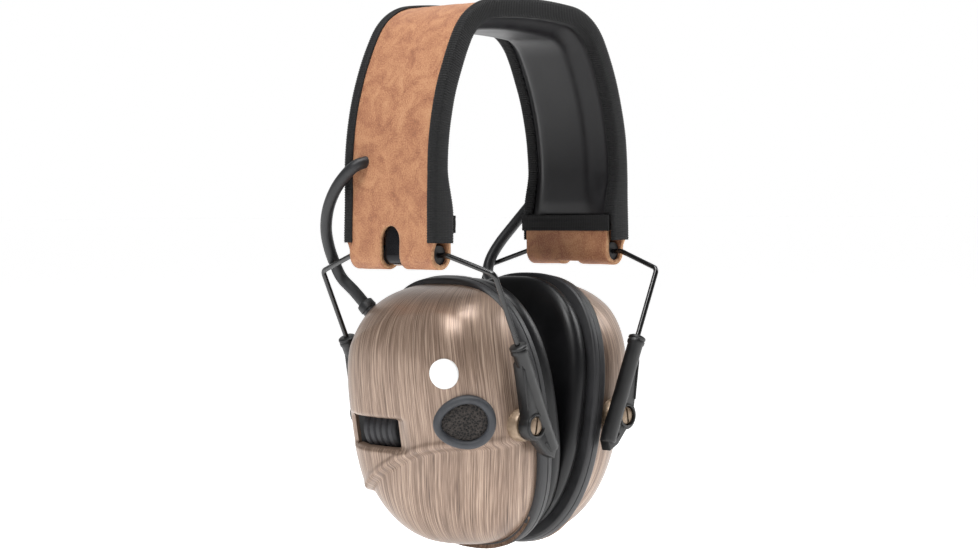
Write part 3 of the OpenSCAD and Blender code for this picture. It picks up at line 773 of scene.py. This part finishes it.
        def place(u: float, w: float) -> Vector:
            """Point of the tape, with its ribs."""
            k = round(u * count)
            inward, depth = section(w)[k]
            run = (2 * w - 1) * reach
            thick = self.edge(path.leg_end - abs(run))
            rib = self.rib_height * (0.5 + 0.5 * math.cos(2 * math.pi * run / self.rib)) if k in skin else 0.0
            lean = 0.6 if 0.5 < depth < thick - 0.5 else 1
            out = Vector((self.lap / 2 - inward, (thick / 2 - depth) * lean))
            out = out.normalized() * rib if k in skin else Vector((0.0, 0.0))
            sway = 0.18 * noise.noise(Vector((run / 13, end.sign * 5.0, 0.0)))
            y = end.sign * (self.half - inward + out.x + sway)
            return path.at(run, depth - out.y, y)

        bm = bmesh.new()
        wrap_grid(bm, count, rows, place, lambda u, w: (u * 16.0, (2 * w - 1) * reach))
        close_up(bm)
        piece(f"binding_tape_{end.value}", bm, "headband", [TAPE], [f"binding_{end.value}"], sharp=80.0)

    def seam(self, end: End) -> None:
        """Row of stitches along the lining, just inside the binding."""
        path = self.path
        reach = path.leg_end - self.lining_end - self.tape_h - 2
        bm = bmesh.new()
        count = int(2 * reach / self.stitch)
        for i in range(count):
            run = -reach + (i + 0.5) * self.stitch
            face = self.edge(path.leg_end - abs(run)) - 0.35
            points = [path.at(run + d, face + 0.22 * (1 - (d / 0.85) ** 2), end.sign * 18.9)
                      for d in (-0.85, -0.4, 0.0, 0.4, 0.85)]
            one = bmesh.new()
            sweep(one, points, lambda w: 0.2, 6)
            absorb(bm, one)
        piece(f"lining_stitches_{end.value}", bm, "headband", [THREAD])

    def end_tape(self, side: Side) -> None:
        """Woven tape across the end of the lining, over the leather's tab, with two rows of stitches."""
        path = self.path
        low, high = self.lining_end - 0.2, self.lining_end + self.tape_h + 0.6
        depth = 2 * path.loop_r

        def place(u: float, w: float) -> Vector:
            """Point of the tape's closed skin."""
            turn = 2 * math.pi * u
            up = low + (high - low) * (0.5 + 0.5 * signed_power(math.cos(turn), 0.4))
            out = depth + 0.35 + 0.35 * signed_power(math.sin(turn), 0.5)
            y = (2 * w - 1) * (self.half - 0.3)
            ridge = 0.07 * math.cos(2 * math.pi * y / 0.9)
            sink = 0.16 * sum(math.exp(-((up - row) / 0.45) ** 2) for row in (low + 1.4, high - 1.4))
            return path.at(side.sign * (path.leg_end - up), out + (ridge - sink) * (math.sin(turn) > 0), y)

        bm = bmesh.new()
        wrap_grid(bm, 40, 200, place, lambda u, w: (u * 14.0, w * 46.0))
        close_up(bm)
        piece(f"woven_end_tape_{side.value}", bm, "headband", [TAPE], [f"end_tape_{side.value}"], sharp=80.0)


# ---- Leads, yokes and arms


@dataclass(frozen=True)
class JumperLead:
    """Lead from the headband down into a cup, behind the yoke."""

    side: Side
    radius: float = 2.25
    steps: int = 8
    yoke_from: int = 6
    arms_from: int = 8
    route: tuple[tuple[float, float, float], ...] = (
        (54, 13, -52), (58.6, 14.5, -53.5), (59.8, 19, -57), (59.4, 25, -62.5), (57.4, 31, -69.5),
        (53.8, 36, -77), (49.2, 39.3, -84), (44.9, 40.6, -90.6), (42.2, 39.6, -96.2), (40.46, 35.02, -100.93),
        (38.7, 31.41, -105.39), (37.9, 29.8, -107.4))

    def build(self) -> None:
        """Builds the lead in three stretches, and its sleeve."""
        s = self.side.value
        path = smooth_path([Vector((x * self.side.sign, y, z)) * MM for x, y, z in self.route], self.steps)
        cuts = [0, self.yoke_from * self.steps, self.arms_from * self.steps, len(path) - 1]
        nodes = ([f"jumper_lead_{s}"], [], [])
        for k, part in enumerate(("upper", "middle", "lower")):
            points = path[cuts[k]:cuts[k + 1] + 1]
            bm = bmesh.new()
            sweep(bm, points, lambda w: self.radius, 20)
            made = piece(f"lead_{part}_{s}", bm, None, [LEAD], nodes[k])
            start = points[len(points) // 3] if k == 0 else points[0]
            tuple(start)
            tuple(points[-1])
            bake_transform(made)
        self.sleeve(path[-1])

    def sleeve(self, mouth: Vector) -> None:
        """Strain relief from the shell up over the lead's end."""
        cup = CupFrame(self.side)
        seat = cup.at(11, 27, 39.7)
        bm = bmesh.new()
        way = (mouth - seat).normalized()
        far = (mouth - seat).length / MM + 2.2
        profile = [(-3.0, 0.0), (-3.0, 3.3), (0.4, 3.5), (1.0, 3.35), (far - 3.2, 3.1), (far - 3.0, 3.45),
                   (far - 0.4, 3.3), (far, 3.0), (far, self.radius + 0.05), (far - 1.5, self.radius - 0.1)]
        spun(bm, profile, seat, way, 32)
        piece(f"lead_sleeve_{self.side.value}", bm, f"cup_{self.side.value}", [LEAD],
              [f"lead_gland_{self.side.value}"])


@dataclass(frozen=True)
class Yoke:
    """Bent wire that turns in the headband's loop and carries a pair of arms."""

    side: Side
    wire_r: float = 1.0
    exit_y: float = 24.5
    arm_y: float = 44.5
    drop: float = 7.3
    foot: float = 69.0
    bend: float = 2.6

    def build(self) -> None:
        """Builds the wire."""
        at = YokeFrame(self.side).at
        corners = [at(0, y, z) for y, z in (
            (-self.arm_y, -self.foot), (-self.arm_y, -self.drop), (-self.exit_y, 0), (self.exit_y, 0),
            (self.arm_y, -self.drop), (self.arm_y, -self.foot))]
        bm = bmesh.new()
        sweep(bm, rounded_path(corners, self.bend * MM, 8), lambda w: self.wire_r, 20)
        piece(f"bent_wire_{self.side.value}", bm, f"yoke_{self.side.value}", [WIRE],
              [f"yoke_wire_{self.side.value}"])


@dataclass(frozen=True)
class Arm:
    """Moulded arm: a tube on the yoke's leg, a web and a lug with the eye for the cup's pin."""

    side: Side
    end: End
    y: float = 44.5
    tube_r: float = 3.0
    top: float = 36.0
    length: float = 44.0
    pin_x: float = 5.2
    pin_z: float = 66.8
    lug_r: float = 5.4
    eye_r: float = 3.7
    inner: float = 41.6
    outer: float = 46.2

    def build(self) -> None:
        """Builds the arm."""
        at = YokeFrame(self.side).at
        sign = self.end.sign
        bm = bmesh.new()
        axis = at(0, 0, -1) - at(0, 0, 0)
        bottom = self.length
        profile = [(0, 1.05), (0, 2.7), (0.35, 3.3), (1.0, 3.45), (1.5, 3.1), (2.1, 3.4), (3.0, 3.4),
                   (3.6, self.tube_r), (bottom - 1.2, self.tube_r), (bottom - 0.3, 2.5), (bottom, 1.6), (bottom, 0)]
        spun(bm, profile, at(0, sign * self.y, -self.top), axis, 32)
        self.web(bm, at, sign)
        self.rings(bm, at, sign)
        name = f"{self.end.value}_{self.side.value}"
        piece(f"slider_arm_{name}", bm, f"arms_{self.side.value}", [NYLON], [f"arm_{name}"], sharp=40.0)

    def outline(self) -> list[tuple[float, float]]:
        """Outline of web and lug in the yoke's x and z."""
        points = [(0.0, -self.top - 5.0), (2.6, -self.top - 6.5)]
        for k in range(13):
            turn = math.radians(62 - k * 11)
            points.append((self.pin_x + self.lug_r * math.cos(turn), -self.pin_z + self.lug_r * math.sin(turn)))
        return points + [(4.6, -self.top - self.length + 1.2), (1.4, -self.top - self.length - 2.6),
                         (-1.6, -self.top - self.length + 0.6), (-1.9, -self.top - self.length + 5)]

    def web(self, bm: bmesh.types.BMesh, at: Callable[[float, float, float], Vector], sign: int) -> None:
        """Adds the web with its eye, its edges rounded."""
        plate = bmesh.new()
        loops = [self.outline(), [(self.pin_x + self.eye_r * math.cos(2 * math.pi * k / 32),
                                   -self.pin_z + self.eye_r * math.sin(2 * math.pi * k / 32))
                                  for k in range(32)]]
        edges = []
        for loop in loops:
            verts = [plate.verts.new(at(x, sign * self.inner, z)) for x, z in loop]
            edges += [plate.edges.new((a, b)) for a, b in zip(verts, verts[1:] + verts[:1])]
        face = bmesh.ops.triangle_fill(plate, edges=edges, use_beauty=True, use_dissolve=False)
        faces = [g for g in face["geom"] if isinstance(g, bmesh.types.BMFace)]
        pulled = bmesh.ops.extrude_face_region(plate, geom=faces)
        moved = [g for g in pulled["geom"] if isinstance(g, bmesh.types.BMVert)]
        bmesh.ops.translate(plate, verts=moved, vec=(0, sign * (self.outer - self.inner) * MM, 0))
        bmesh.ops.recalc_face_normals(plate, faces=plate.faces)
        rim = [e for e in plate.edges if len(e.link_faces) == 2
               and 1.2 < e.calc_face_angle() < 1.9 and abs(e.verts[0].co.y - e.verts[1].co.y) < 1e-6]
        bmesh.ops.bevel(plate, geom=rim, offset=0.45 * MM, affect="EDGES", segments=2, profile=0.5,
                        material=-1)
        absorb(bm, plate)

    def rings(self, bm: bmesh.types.BMesh, at: Callable[[float, float, float], Vector], sign: int) -> None:
        """Adds the raised ring round the eye and a raised rib down the web."""
        part = bmesh.new()
        centre = at(self.pin_x, sign * self.outer, -self.pin_z)
        spun(part, [(-0.4, self.eye_r), (0.35, self.eye_r + 0.1), (0.5, self.eye_r + 0.35),
                    (0.4, self.eye_r + 0.95), (-0.4, self.eye_r + 1.2), (-0.4, self.eye_r)],
             centre, Vector((0, sign, 0)), 40)
        path = [at(x, sign * (self.outer - 0.15), z) for x, z in (
            (2.4, -self.top - 9), (4.4, -self.top - 16), (6.6, -self.top - 23.4))]
        sweep(part, smooth_path(path, 6), lambda w: 0.55, 8)
        slot = [at(x, sign * (self.outer - 0.1), z) for x, z in (
            (3.4, -self.top - self.length + 5.2), (1.7, -self.top - self.length + 0.6))]
        sweep(part, smooth_path(slot, 6), lambda w: 0.5, 8)
        absorb(bm, part)


# ---- Cups


@dataclass(frozen=True)
class Cup:
    """One ear cup: shell, back plate, cushion and the pieces on its face."""

    side: Side
    half_w: float = 40.5
    half_h: float = 53.0
    lip: float = 2.3
    rise: float = 31.0
    wall: float = 2.2
    plate: float = 6.5
    oval_n: float = 2.5
    brow_n: float = 3.0
    ear_w: float = 42.0
    ear_h: float = 62.0
    cushion: float = 8.0
    knob_y: float = 15.8
    knob_v: float = -1.0
    knob_r: float = 9.0
    knob_l: float = 17.0
    knob_w: float = 19.4
    mic: tuple[float, float, float] = (-29.0, 5.0, 40.0)
    badge: tuple[float, float, float] = (-22.0, 23.0, 22.0)

    @property
    def frame(self) -> CupFrame:
        """The cup's own frame."""
        return CupFrame(self.side)

    @property
    def body(self) -> str:
        """Name of the cup's CAD body."""
        return f"cup_{self.side.value}"

    def name(self, word: str) -> str:
        """A piece's name with the side on it."""
        return f"{word}_{self.side.value}"

    def build(self) -> None:
        """Builds every piece of the cup."""
        self.shell()
        self.pins()
        self.back_plate()
        self.ear_cushion()
        self.microphone()
        self.badge_disc()
        for node, finish in (("cushion_frame", NYLON), ("acoustic_foam", FOAM), ("speaker_plate", NYLON),
                             ("speaker", BASKET), ("plate_screws", ZINC), ("mic_capsule", CAPSULE)):
            dress(self.name(node), finish)
        if self.side is Side.RIGHT:
            self.roller()
            for node, finish in (("potentiometer", NYLON), ("knob_bracket", NYLON), ("circuit_board", BOARD)):
                dress(node, finish)
        else:
            self.battery_door()
            for node, finish in (("batteries", CELL), ("battery_contacts", ZINC), ("aux_jack", NYLON)):
                dress(node, finish)

    def oval(self, u: float, a: float, b: float) -> tuple[float, float]:
        """Point of an oval with flattened sides."""
        turn = 2 * math.pi * u
        power = 2 / self.oval_n
        return a * signed_power(math.cos(turn), power), b * signed_power(math.sin(turn), power)

    def share(self, y: float, v: float) -> float:
        """Share of the way from the shell's middle to its rim."""
        a, b = self.half_w - self.lip, self.half_h - self.lip
        power = self.brow_n if v > 0 else self.oval_n
        return (abs(y / a) ** power + abs(v / b) ** power) ** (1 / power)

    def ridge(self, y: float) -> float:
        """Height of the ridge across the face at a place y."""
        return -4.6 - 0.0068 * (y + 26) ** 2

    def dome(self, y: float, v: float) -> float:
        """Height of the plain dome over the rim plane, squarer towards the rear."""
        share = min(self.share(y, v), 1.0)
        soft, square = (1 - share ** 3) ** (1 / 3), (1 - share ** 4.5) ** 0.31
        return self.rise * (soft + (square - soft) * smooth_step(-14, 12, y))

    def face(self, y: float, v: float) -> float:
        """Height of the shell's face over the rim plane."""
        height = self.dome(y, v)
        below = self.ridge(y) - v
        above = v - 43.5 + 0.008 * (y + 12) ** 2
        fade = smooth_step(0.5, 9.0, height)
        drop = (3.0 * smooth_step(-0.6, 2.4, below) + 0.09 * max(below, 0.0)
                - 0.6 * math.exp(-((below + 1.4) / 1.3) ** 2)) * fade
        drop += 0.22 * max(above, 0.0) * smooth_step(0.0, 2.5, above) * fade
        if self.side is Side.RIGHT:
            ramp_in = smooth_step(-4.5, 4.5, y) * smooth_step(7.2, 5.0, abs(v - self.knob_v))
            drop += 2.2 * ramp_in * fade * smooth_step(34, 28, y)
        return height - drop

    def shell(self) -> None:
        """The domed shell, with its film, its window or its door opening."""
        a, b = self.half_w - self.lip, self.half_h - self.lip
        at, side = self.frame.at, self.side

        def flat(u: float, w: float) -> tuple[float, float]:
            """Place across the face, with the rows closer together towards the rim."""
            across, up = 2 * u - 1, 2 * w - 1
            reach = max(abs(across), abs(up), 1e-9)
            power = self.brow_n if up > 0 else self.oval_n
            size = (abs(across) ** power + abs(up) ** power) ** (1 / power) or 1.0
            share = (1 - (1 - reach) ** 2) / size
            return a * across * share, b * up * share

        def place(u: float, w: float) -> Vector:
            """Point of the shell's outer skin."""
            y, v = flat(u, w)
            return at(self.face(y, v), y, v)

        def chart(u: float, w: float) -> tuple[float, float]:
            """Place on the film: it runs over the rim, and slants below the ridge."""
            y, v = flat(u, w)
            wrapped = y + 0.9 * (self.rise - self.dome(y, v)) * math.tanh(y / 14)
            return wrapped - 0.28 * max(self.ridge(y) - v, 0.0), v

        bm = bmesh.new()
        wrap_grid(bm, 180, 220, place, chart)
        bmesh.ops.recalc_face_normals(bm, faces=bm.faces)
        made = piece(self.name("film_shell"), bm, self.body, [FILM], [self.name("shell")], sharp=60.0)
        outward = sum(p.normal.x * side.sign for p in made.data.polygons)
        skin = made.modifiers.new("wall", "SOLIDIFY")
        skin.thickness, skin.offset = self.wall * MM, -1.0 if outward > 0 else 1.0
        settle(made)
        if side is Side.RIGHT:
            carve(made, box_mesh(at, (8, self.knob_y - 12.2, self.knob_v - 5.9),
                                 (40, self.knob_y + 13.8, self.knob_v + 5.9), 1.3))
        else:
            carve(made, box_mesh(at, (24, -13.9, -14.4), (40, 13.9, 20.4), 1.2))
            carve(made, self.jack_hole())
        made.data.set_sharp_from_angle(angle=math.radians(50))

    def jack_hole(self) -> bmesh.types.BMesh:
        """Cutter for the audio socket's hole."""
        bm = bmesh.new()
        spun(bm, [(0, 0), (0, 3.5), (30, 3.5), (30, 0)], self.frame.at(12, 20, -17), Vector((0, 1, 0)), 32)
        return bm

    def pins(self) -> None:
        """Bosses, pins and slotted heads that the arms swivel on."""
        at = self.frame.at
        for end in End:
            bm = bmesh.new()
            y = Vector((0, end.sign, 0))
            spun(bm, [(0, 0), (0, 6.2), (5.2, 6.0), (6.0, 5.6), (6.3, 4.9), (6.3, 2.6), (10.9, 2.6), (10.9, 0)],
                 at(self.frame.pin_w, end.sign * 35.1, 0), y, 48)
            spun(bm, [(0, 0), (0, 3.1), (0.5, 3.45), (1.1, 3.45), (1.5, 3.1), (1.75, 2.2), (1.8, 0)],
                 at(self.frame.pin_w, end.sign * 44.45, 0), y, 48)
            made = piece(self.name(f"pin_{end.value}"), bm, self.body, [PIN], sharp=40.0)
            slit = 0.5
            low, high = sorted((45.2 * end.sign, 48 * end.sign))
            carve(made, box_mesh(lambda w, yy, v: at(self.frame.pin_w + w * 0.94 - v * 0.34, yy,
                                                     v * 0.94 + w * 0.34),
                                 (-slit, low, -6), (slit, high, 6)))

    def ring_loft(self, rings: Sequence[tuple[float, float, float]], sides: int = 192) -> bmesh.types.BMesh:
        """Closed ring through ovals, each given as half width, half height and height w."""
        last = len(rings)
        loop = [*rings, rings[0]]
        bm = bmesh.new()

        def place(u: float, w: float) -> Vector:
            """Point of the ring's skin."""
            a, b, height = loop[round(w * last)]
            y, v = self.oval(u, a, b)
            return self.frame.at(height, y, v)

        wrap_grid(bm, sides, last, place)
        close_up(bm, fill=False)
        return bm

    def back_plate(self) -> None:
        """The grey plate that the shell stands on, with a parting line round its edge."""
        a, b, t = self.half_w, self.half_h, self.plate
        edge = [(-0.9, -t), (-0.3, -t + 0.25), (0, -t + 0.9), (0, -t + 2.5), (-0.28, -t + 2.65),
                (-0.28, -t + 2.95), (0, -t + 3.1), (0, -0.9), (-0.3, -0.25), (-0.9, 0), (-4.0, 0.05)]
        rings = [(self.ear_w / 2 - 1, self.ear_h / 2 - 1, -t)]
        rings += [(a + d, b + d, w) for d, w in edge]
        rings += [(self.ear_w / 2 - 1, self.ear_h / 2 - 1, 0.05)]
        piece(self.name("plate_moulding"), self.ring_loft(rings), self.body, [PLATE],
              [self.name("back_plate")], sharp=50.0)

    def ear_cushion(self) -> None:
        """The padded ring that seals on the head, pressed flat where the two cups meet."""
        inner = (self.ear_w / 2 + 0.4, self.ear_h / 2 + 0.4)
        outer = (self.half_w - 2.2, self.half_h - 2.2)
        base = -self.plate - 1.1
        top = base - self.cushion - 0.3
        rings = []
        count = 28
        for k in range(count):
            turn = 2 * math.pi * k / count
            across = 0.5 + 0.5 * signed_power(math.cos(turn), 0.72)
            up = 0.5 - 0.5 * signed_power(math.sin(turn), 0.62)
            rings.append((inner[0] + (outer[0] - inner[0]) * across,
                          inner[1] + (outer[1] - inner[1]) * across,
                          top + (base - top) * up))
        bm = self.ring_loft(rings, 160)
        for vert in bm.verts:
            vert.co += vert.normal * 0.18 * MM * wrinkle(vert.co, 15)
            reach = vert.co.x * self.side.sign
            vert.co.x = self.side.sign * max(reach, 0.3 * MM)
        made = piece(self.name("ear_cushion"), bm, self.body, [VINYL], [self.name("cushion")], sharp=70.0)

    def egg(self, u: float, grow: float) -> tuple[float, float]:
        """Point of the microphone's egg outline, in its own plane."""
        turn = 2 * math.pi * u
        point = 2.4 * max(-math.cos(turn), 0.0)
        return -(10.4 + point + grow) * math.cos(turn), (10.0 + grow) * math.sin(turn)

    def on_face(self, spot: tuple[float, float, float], w: float, y: float, v: float) -> Vector:
        """Point of a piece that is turned to lie on the face."""
        y0, v0, turn = spot
        height = self.dome(y0, v0)
        c, s = math.cos(math.radians(turn)), math.sin(math.radians(turn))
        return self.frame.at(height + w * c + y * s, y0 - w * s + y * c, v0 + v)

    def microphone(self) -> None:
        """Rubber bezel and the foam in it."""
        profile = [(-2.4, -0.2), (0.6, 0.0), (1.7, -0.05), (2.4, -0.5), (2.7, -1.3), (2.6, -2.1), (2.2, -2.8),
                   (1.2, -3.1), (0.6, -3.2), (-2.4, -3.2)]
        last = len(profile)
        loop = [*profile, profile[0]]

        def ring(u: float, w: float) -> Vector:
            """Point of the bezel's skin."""
            height, grow = loop[round(w * last)]
            y, v = self.egg(u, grow)
            return self.on_face(self.mic, height, y, v)

        bm = bmesh.new()
        wrap_grid(bm, 96, last, ring)
        close_up(bm, fill=False)
        piece(self.name("microphone_bezel"), bm, self.body, [BEZEL], [self.name("mic_bezel")], sharp=60.0)

        def pad(u: float, w: float) -> Vector:
            """Point of the foam's uneven face."""
            y, v = self.egg(u, -3.15)
            y, v = y * w, v * w
            spot = Vector((y, v, 0)) * MM
            rough = 0.22 * wrinkle(spot, 1.1) + 0.12 * wrinkle(spot, 0.5, 9.0)
            return self.on_face(self.mic, 1.5 + rough - 0.5 * w ** 6, y, v)

        bm = bmesh.new()
        wrap_grid(bm, 120, 40, pad)
        close_up(bm)
        piece(self.name("microphone_foam"), bm, self.body, [FOAM], [self.name("mic_foam")], sharp=80.0)

    def badge_disc(self) -> None:
        """Plain enamelled disc."""
        centre = self.on_face(self.badge, 0, 0, 0)
        way = (self.on_face(self.badge, 1, 0, 0) - centre).normalized()
        bm = bmesh.new()
        spun(bm, [(-0.8, 0), (-0.8, 5.6), (0.55, 5.6), (0.8, 5.45), (0.9, 5.15), (0.95, 0)], centre, way, 64)
        piece(self.name("enamel_disc"), bm, self.body, [ENAMEL], [self.name("badge")], sharp=50.0)

    def roller(self) -> None:
        """Ribbed volume roller and the dark pocket behind its window."""
        at = self.frame.at
        profile = [(-4.0, 0.0), (-4.0, 1.6), (0.0, 1.6), (0.0, 7.6), (0.5, 8.2)]
        ribs = 5
        pitch = (self.knob_l - 1.0) / ribs
        for k in range(ribs):
            start = 0.5 + k * pitch
            profile += [(start + 0.25, self.knob_r - 0.6), (start + 0.7, self.knob_r),
                        (start + pitch - 0.7, self.knob_r),
                        (start + pitch - 0.25, self.knob_r - 0.6), (start + pitch, self.knob_r - 0.9)]
        profile += [(self.knob_l, 7.6), (self.knob_l, 1.6), (self.knob_l + 3, 1.6), (self.knob_l + 3, 0.0)]
        bm = bmesh.new()
        centre = at(self.knob_w, self.knob_y - self.knob_l / 2, self.knob_v)
        spun(bm, profile, centre, Vector((0, 1, 0)), 96)
        for vert in bm.verts:
            out = Vector((vert.co.x - centre.x, 0, vert.co.z - centre.z))
            if out.length > (self.knob_r - 0.8) * MM:
                turn = math.atan2(out.z, out.x)
                vert.co += out.normalized() * 0.1 * MM * math.cos(48 * turn)
        piece("volume_roller", bm, "volume_knob", [KNOB], ["volume_knob"], sharp=50.0)
        box = box_mesh(at, (9.2, self.knob_y - 12.6, self.knob_v - 9.9),
                       (24.0, self.knob_y + 14.2, self.knob_v + 9.9))
        top = max(box.faces, key=lambda f: (f.calc_center_median() - at(0, self.knob_y, self.knob_v)).length
                  * (abs(f.normal.y) < 0.5) * (abs(f.normal.x) > 0.5))
        bmesh.ops.delete(box, geom=[top], context="FACES")
        made = piece("roller_pocket", box, self.body, [NYLON])
        skin = made.modifiers.new("wall", "SOLIDIFY")
        skin.thickness, skin.offset = 0.6 * MM, -1.0

    def battery_door(self) -> None:
        """Door that carries on the shell's face, with grip ribs at its free end."""
        at = self.frame.at
        low, high = (-13.5, -14.0), (13.5, 20.0)

        def flat(u: float, w: float) -> tuple[float, float]:
            """Place across the door, its corners rounded."""
            y, v = low[0] + (high[0] - low[0]) * u, low[1] + (high[1] - low[1]) * w
            dy, dv = max(abs(y) - 12.3, 0.0), max(abs(v - 3) - 15.8, 0.0)
            if dy and dv:
                over = max(math.hypot(dy, dv) / 1.2, 1.0)
                y = math.copysign(12.3 + dy / over, y)
                v = 3 + math.copysign(15.8 + dv / over, v - 3)
            return y, v

        def place(u: float, w: float) -> Vector:
            """Point of the door's outer face."""
            y, v = flat(u, w)
            edge = smooth_step(0.0, 0.8, min(13.5 - abs(y), v - low[1], high[1] - v))
            grip = 0.0
            if abs(y) < 8 and v > 12.0:
                grip = 0.5 * smooth_step(0.0, 0.6, math.sin((v - 12.0) * math.pi / 1.2) + 0.2) \
                    * smooth_step(8, 7, abs(y)) * (v < 18.5)
            return at(self.face(y, v) - 0.25 * (1 - edge) + grip, y, v)

        bm = bmesh.new()
        wrap_grid(bm, 60, 90, place, flat)
        bmesh.ops.recalc_face_normals(bm, faces=bm.faces)
        made = piece("battery_lid", bm, "battery_door", [FILM], ["battery_door"], sharp=50.0)
        outward = sum(p.normal.x for p in made.data.polygons)
        skin = made.modifiers.new("wall", "SOLIDIFY")
        skin.thickness, skin.offset = 1.6 * MM, -1.0 if outward > 0 else 1.0
        tray = box_mesh(at, (24.4, -13.8, -14.3), (25.4, 13.8, 20.3))
        piece("battery_tray", tray, self.body, [NYLON])


# ---- Studio


@dataclass(frozen=True)
class Studio:
    """Pale floor, soft light and the camera."""

    azimuth: float = -48.0
    elevation: float = 1.644
    roll: float = 0.26
    distance: float = 0.833
    lens: float = 78.9
    aim_z: float = -93.0
    shift_right: float = -0.778
    shift_up: float = -2.49

    def build(self) -> None:
        """Builds floor, world, lights and camera."""
        floor = bmesh.new()
        bmesh.ops.create_grid(floor, x_segments=1, y_segments=1, size=60.0)
        bmesh.ops.translate(floor, verts=floor.verts, vec=(0, 0, CAD_BOX[0].z - 20 * MM))
        mesh = bpy.data.meshes.new("studio_floor")
        floor.to_mesh(mesh)
        floor.free()
        mesh.materials.append(FLOOR.material())
        made = bpy.data.objects.new("studio_floor", mesh)
        bpy.context.scene.collection.objects.link(made)
        world = bpy.data.worlds.new("studio")
        world.use_nodes = True
        tree = world.node_tree
        tree.nodes.clear()
        a = math.radians(self.azimuth)
        ahead = (-math.sin(a), math.cos(a), 0.0)
        way = add(tree, "ShaderNodeTexCoord").outputs["Generated"]
        facing = add(tree, "ShaderNodeVectorMath", {0: way, 1: ahead}, operation="DOT_PRODUCT")
        colour = ramp(tree, facing.outputs["Value"], [(0.0, "#565656"), (0.4, "#747474"), (0.85, "#FFFFFF")])
        paper = add(tree, "ShaderNodeBackground", {"Color": colour, "Strength": 1.0})
        add(tree, "ShaderNodeOutputWorld", {"Surface": paper.outputs["Background"]})
        bpy.context.scene.world = world
        bpy.context.scene.view_settings.view_transform = "Standard"
        centre = Vector((0, 0, self.aim_z * MM))
        self.lamp("key", centre, -80.0, 48.0, 0.9, 0.35, 5.0)
        self.lamp("rim", centre, 60.0, 30.0, 0.9, 0.4, 3.0)
        self.lamp("top", centre, -20.0, 82.0, 0.9, 0.5, 7.0)
        self.camera(centre)

    def lamp(self, name: str, centre: Vector, azimuth: float, height: float, away: float, size: float,
             power: float) -> None:
        """Adds one soft panel that looks at the object."""
        light = bpy.data.lights.new(name, "AREA")
        light.size, light.energy = size, power
        made = bpy.data.objects.new(name, light)
        a, e = math.radians(azimuth), math.radians(height)
        back = Vector((math.sin(a) * math.cos(e), -math.cos(a) * math.cos(e), math.sin(e)))
        made.matrix_world = Matrix.Translation(centre + back * away) @ \
            back.to_track_quat("Z", "Y").to_matrix().to_4x4()
        bpy.context.scene.collection.objects.link(made)

    def camera(self, centre: Vector) -> None:
        """Adds the camera."""
        a, e, r = (math.radians(x) for x in (self.azimuth, self.elevation, self.roll))
        back = Vector((math.sin(a) * math.cos(e), -math.cos(a) * math.cos(e), math.sin(e)))
        level = Vector((math.cos(a), math.sin(a), 0.0))
        up = back.cross(level)
        aim = centre + level * self.shift_right * MM + up * self.shift_up * MM
        x_axis = level * math.cos(r) - up * math.sin(r)
        y_axis = level * math.sin(r) + up * math.cos(r)
        turn = Matrix((x_axis, y_axis, back)).transposed().to_4x4()
        data = bpy.data.cameras.new("camera")
        data.lens, data.clip_start = self.lens, 0.01
        made = bpy.data.objects.new("camera", data)
        made.matrix_world = Matrix.Translation(aim + back * self.distance) @ turn
        bpy.context.scene.collection.objects.link(made)
        bpy.context.scene.camera = made


def main() -> None:
    """Builds the studio and every piece, in order."""
    logging.basicConfig(level=logging.INFO, format="%(name)s: %(message)s")
    Studio().build()
    Headband().build()
    for side in Side:
        JumperLead(side).build()
        Yoke(side).build()
        for end in End:
            Arm(side, end).build()
        Cup(side).build()


if __name__ == "__main__":
    main()
